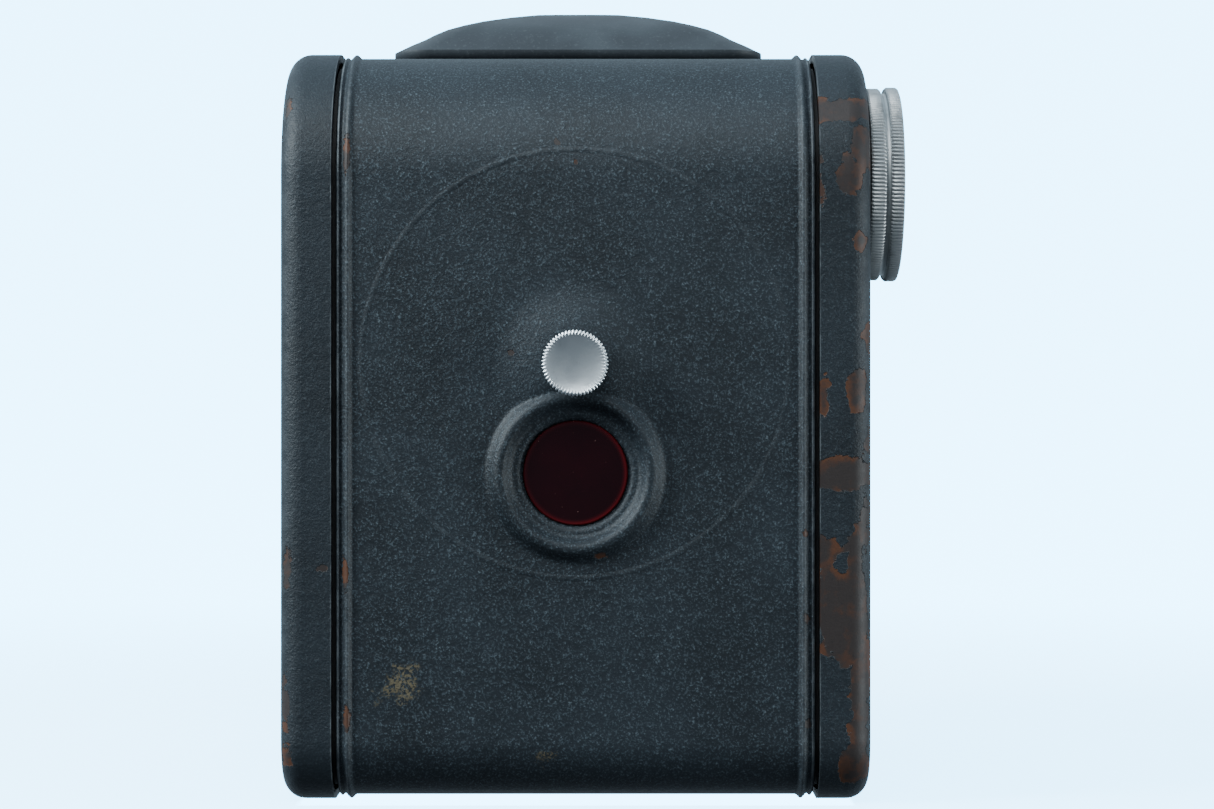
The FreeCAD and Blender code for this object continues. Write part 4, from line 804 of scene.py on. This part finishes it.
def make_winding_knob():
    """Two coin-edge bands with a smooth groove between, and a dished face."""
    centre = middle("winding_knob")
    start = low("winding_knob").x
    end = high("winding_knob").x
    radius = high("winding_knob").z - centre.z
    inner = radius - 0.15
    groove_start = start + WINDER_GROOVE[0]
    groove_end = start + WINDER_GROOVE[1]
    inner_band = [(start, 2.5), (start, inner - 0.5), (start + 0.12, inner - 0.2), (start + 0.4, inner),
                  (groove_start - 0.35, inner), (groove_start - 0.08, inner - 0.25)]
    groove = [(groove_start, inner - 0.7), (groove_start + 0.3, inner - 0.8), (groove_end, inner - 0.7)]
    outer_band = [(groove_end + 0.08, radius - 0.25), (groove_end + 0.35, radius), (end - 0.4, radius),
                  (end - 0.12, radius - 0.16), (end, radius - 0.5)]
    dish = [(end, radius - 2.4), (end - 0.2, radius - 2.8), (end - 0.7, radius - 3.4),
            (end - 1.0, radius - 5.5), (end - 1.05, 4.6), (end - 0.5, 4.1), (end - 0.45, 2.4),
            (end - 0.9, 0.0)]
    profile = inner_band + groove + outer_band + dish
    mesh = lathe(bmesh.new(), profile, "x", centre, steps=WINDER_TEETH * 4)
    bands = [(start + 0.3, groove_start - 0.3), (groove_end + 0.3, end - 0.3)]
    knurl(mesh, "x", centre, WINDER_TEETH, bands, WINDER_TOOTH_DEPTH)
    new_piece("winding_knob_coin_edge", mesh, "winder", "winder_nickel", ["winding_knob"],
              smooth=KNOB_SMOOTH)


def make_blind_knob():
    """A small knurled knob with a dished face, on its spindle."""
    centre = middle("blind_knob")
    back = low("blind_knob").y
    spindle_end = high("blind_knob").y
    radius = high("blind_knob").z - centre.z
    front = back + BLIND_HEAD
    dish = [(back + 0.62, 0.0), (back + 0.58, 1.2), (back + 0.46, 2.4), (back + 0.26, 3.4),
            (back + 0.06, 4.1), (back, 4.3)]
    rim = [(back + 0.04, 4.42), (back + 0.16, radius - 0.06), (back + 0.34, radius), (front - 0.9, radius),
           (front - 0.6, radius - 0.35), (front - 0.1, radius - 0.7), (front, radius - 1.2)]
    spindle = [(front, BLIND_SPINDLE), (spindle_end, BLIND_SPINDLE), (spindle_end, 0.0)]
    mesh = lathe(bmesh.new(), dish + rim + spindle, "y", centre, steps=BLIND_TEETH * 8)
    bands = [(back - 0.02, front - 0.85)]
    knurl(mesh, "y", centre, BLIND_TEETH, bands, BLIND_TOOTH_DEPTH, inside=4.25)
    new_piece("blind_knob_knurled", mesh, "blind", "knob_nickel", ["blind_knob"], smooth=KNOB_SMOOTH)


# ---- finder lid ----

LID_FRONT = 33.0
LID_CORNER = 6.0
LID_CORNER_STEPS = 14
# how much each loop of the dome draws in across and along the camera body, and its height
LID_RINGS = (
    (0.05, 0.0, 110.9), (0.9, 0.5, 111.35), (2.3, 1.2, 112.1), (4.4, 2.3, 113.1), (5.9, 3.4, 114.0),
    (7.7, 4.8, 114.9), (10.0, 6.4, 115.7), (12.6, 8.2, 116.45), (16.6, 10.4, 117.25), (20.8, 12.8, 117.9),
    (24.5, 15.5, 118.3), (27.3, 18.6, 118.5),
)


def rounded_rectangle(mesh, half_width, half_depth, corner, steps):
    """A closed loop of points in the XY plane, made from a circle pulled apart at its quarters."""
    loop = bmesh.ops.create_circle(mesh, cap_ends=False, radius=corner, segments=steps * 4)["verts"]
    bmesh.ops.rotate(mesh, verts=loop, matrix=Matrix.Rotation(math.pi / (steps * 4), 3, "Z"))
    for vert in loop:
        vert.co.x += math.copysign(half_width - corner, vert.co.x)
        vert.co.y += math.copysign(half_depth - corner, vert.co.y)
    return loop


def draw_up(mesh, edges, before, after):
    """Extrude a loop of edges to a new half width, half depth and height; gives the new loop."""
    grown = bmesh.ops.extrude_edge_only(mesh, edges=edges)["geom"]
    points = [item for item in grown if isinstance(item, bmesh.types.BMVert)]
    loop = [item for item in grown if isinstance(item, bmesh.types.BMEdge)
            and all(vert in points for vert in item.verts)]
    bmesh.ops.scale(mesh, vec=(after[0] / before[0], after[1] / before[1], 1), verts=points)
    bmesh.ops.translate(mesh, vec=(0, 0, after[2] - before[2]), verts=points)
    return loop


def make_lid():
    """The domed lid: a short skirt, rounded shoulders and a low crown, drawn up loop by loop."""
    corner = low("finder_lid")
    half_width = (high("finder_lid").x - corner.x) / 2
    half_depth = (LID_FRONT - corner.y) / 2
    mesh = bmesh.new()
    loop = rounded_rectangle(mesh, half_width, half_depth, LID_CORNER, LID_CORNER_STEPS)
    edges = list({edge for vert in loop for edge in vert.link_edges})
    before = (half_width, half_depth, corner.z)
    for narrower, shorter, height in LID_RINGS:
        after = (half_width - narrower, half_depth - shorter, height)
        edges = draw_up(mesh, edges, before, after)
        before = after
    bmesh.ops.contextual_create(mesh, geom=edges)
    bmesh.ops.translate(mesh, vec=(0, (LID_FRONT + corner.y) / 2, corner.z), verts=mesh.verts)
    outward(mesh)
    crown = max(mesh.faces, key=lambda face: face.calc_center_median().z)
    if crown.normal.z < 0:
        bmesh.ops.reverse_faces(mesh, faces=mesh.faces)
    give_gauge(new_piece("lid_dome", mesh, "lid", "lid_satin", ["finder_lid"]))


def make_lid_knuckle():
    """The knuckle of the lid and the web that joins it to the skirt."""
    pin = middle("lid_hinge_pin")
    mesh = bmesh.new()
    knuckle(mesh, pin, -11.7, 11.7, bore=0.66, shoulder=1.25, radius=1.4)
    slab(mesh, (23.4, 2.4, 0.8), (0, pin.y - 1.2, pin.z + 0.1))
    new_piece("lid_knuckle", mesh, "lid", "lid_satin")


# ---- finishing the carried-over pieces ----

def dress_nodes():
    """Give every piece that comes from the design its finish."""
    slots = {part["node"]: part["material_slot"] for part in frame["record"]["subparts"]}
    for name, piece in NODES.items():
        piece.data.materials.clear()
        piece.data.materials.append(MATERIALS[slots[name]])


# ---- stage ----

# the glow of the backdrop, which washes out to a pale blue
PALE = (3.2, 8.5, 13.0)
FLOOR_GLOW = tuple(channel * 0.60 for channel in PALE)
UPPER_GLOW = tuple(channel * 0.86 for channel in PALE)
FLOOR_DARK = (0.74, 0.84, 0.92)
FLOOR_LIGHT = (0.77, 0.87, 0.95)
FLOOR_HALF = 1.5
BACKDROP_RADIUS = 6
# the direction that the world's light comes from, and its colours on the opposite side and on that side
LIGHT_SIDE = (-0.15, 0.70, 0.65)
WORLD_DARK = (0.085, 0.105, 0.125)
WORLD_LIGHT = (0.68, 0.88, 1.04)
LIGHT_TARGET = (0, 0, 0.055)
LENS = 86
SENSOR = 36
VIEW_DISTANCE = 0.410
VIEW_ACROSS = 0.00446
VIEW_HEIGHT = 0.0568


def unlit_stage(name, mesh, finish):
    """A stage piece that the viewer sees, but that throws no light on the camera body."""
    piece = add_mesh(name, mesh, finish.material)
    piece.visible_diffuse = False
    piece.visible_glossy = False
    piece.visible_transmission = False


def make_floor():
    """A pale table top that melts into the backdrop.

    It is cut away under the camera body and behind it, where the open door hangs down.
    """
    mesh = bmesh.new()
    bmesh.ops.create_grid(mesh, x_segments=1, y_segments=1, size=FLOOR_HALF)
    finish = Finish("floor", FLOOR_LIGHT, 0.7, Emission_Strength=1.0)
    across, depth, _ = finish.axes()
    reach = (across ** 2 + depth ** 2).root()
    clouds = finish.noise(60, detail=2)
    finish.set("Base Color", finish.mix(FLOOR_DARK, FLOOR_LIGHT, clouds))
    finish.set("Emission Color", (*FLOOR_GLOW, 1.0))
    under = abs(across).step(40, 39) * depth.step(-43.5, -43) * depth.step(-18, -19)
    finish.set("Alpha", reach.step(420, 110) * depth.step(-62, -45) * (1 - under))
    unlit_stage("floor", mesh, finish)


def make_backdrop():
    """A pale dome all round, paler still towards the floor."""
    mesh = bmesh.new()
    bmesh.ops.create_icosphere(mesh, subdivisions=3, radius=BACKDROP_RADIUS)
    finish = Finish("backdrop", (0, 0, 0), 1.0, Emission_Strength=1.0)
    _, _, up = finish.axes()
    finish.set("Emission Color", finish.mix(PALE, UPPER_GLOW, up.step(-1500, 1500)))
    unlit_stage("backdrop", mesh, finish)


def make_world():
    """Light from above and beyond the camera body, with the dark room before and below its door."""
    world = bpy.data.worlds.new("studio")
    bpy.context.scene.world = world
    world.use_nodes = True
    tree = world.node_tree
    source = tree.nodes.new("ShaderNodeTexCoord")
    lean = tree.nodes.new("ShaderNodeVectorMath")
    lean.operation = "DOT_PRODUCT"
    lean.inputs[1].default_value = LIGHT_SIDE
    ramp = tree.nodes.new("ShaderNodeMapRange")
    ramp.interpolation_type = "SMOOTHSTEP"
    ramp.inputs["From Min"].default_value = -0.60
    ramp.inputs["From Max"].default_value = 0.85
    mix = tree.nodes.new("ShaderNodeMix")
    mix.data_type = "RGBA"
    mix.inputs[MIX_FIRST].default_value = (*WORLD_DARK, 1.0)
    mix.inputs[MIX_SECOND].default_value = (*WORLD_LIGHT, 1.0)
    tree.links.new(source.outputs["Generated"], lean.inputs[0])
    tree.links.new(lean.outputs["Value"], ramp.inputs["Value"])
    tree.links.new(ramp.outputs["Result"], mix.inputs["Factor"])
    tree.links.new(mix.outputs[MIX_RESULT], tree.nodes["Background"].inputs["Color"])


def aim(thing, place, target):
    """Put a light or the camera at a place, looking at a target."""
    thing.location = place
    thing.rotation_euler = (Vector(target) - Vector(place)).to_track_quat("-Z", "Y").to_euler()


def make_light(name, place, size, power, colour):
    """A round soft light of a size in metres and a power in watts, aimed at the camera body."""
    data = bpy.data.lights.new(name, "AREA")
    data.shape = "DISK"
    data.size = size
    data.energy = power
    data.color = colour
    aim(add_object(name, data), place, LIGHT_TARGET)


def make_camera():
    """The viewing camera, level and square to the back of the camera body."""
    data = bpy.data.cameras.new("camera")
    data.lens = LENS
    data.sensor_width = SENSOR
    data.clip_start = 0.01
    camera = add_object("camera", data)
    eye = Vector((VIEW_ACROSS, CHEEK_LOW.y * MM - VIEW_DISTANCE, VIEW_HEIGHT))
    aim(camera, eye, eye + Vector((0, 1, 0)))
    bpy.context.scene.camera = camera


dress_nodes()
make_door()
make_door_line()
make_door_knuckles()
make_red_window()
make_winding_knob()
make_blind_knob()
make_lid()
make_lid_knuckle()
make_floor()
make_backdrop()
make_world()
make_light("key_left", (-0.50, -0.24, 0.36), size=0.22, power=4.8, colour=(0.86, 0.96, 1.0))
make_light("overhead", (-0.04, -0.36, 0.44), size=0.30, power=1.0, colour=(0.90, 0.97, 1.0))
make_light("fill_right", (0.60, -0.22, 0.04), size=0.24, power=2.2, colour=(0.86, 0.96, 1.0))
make_camera()
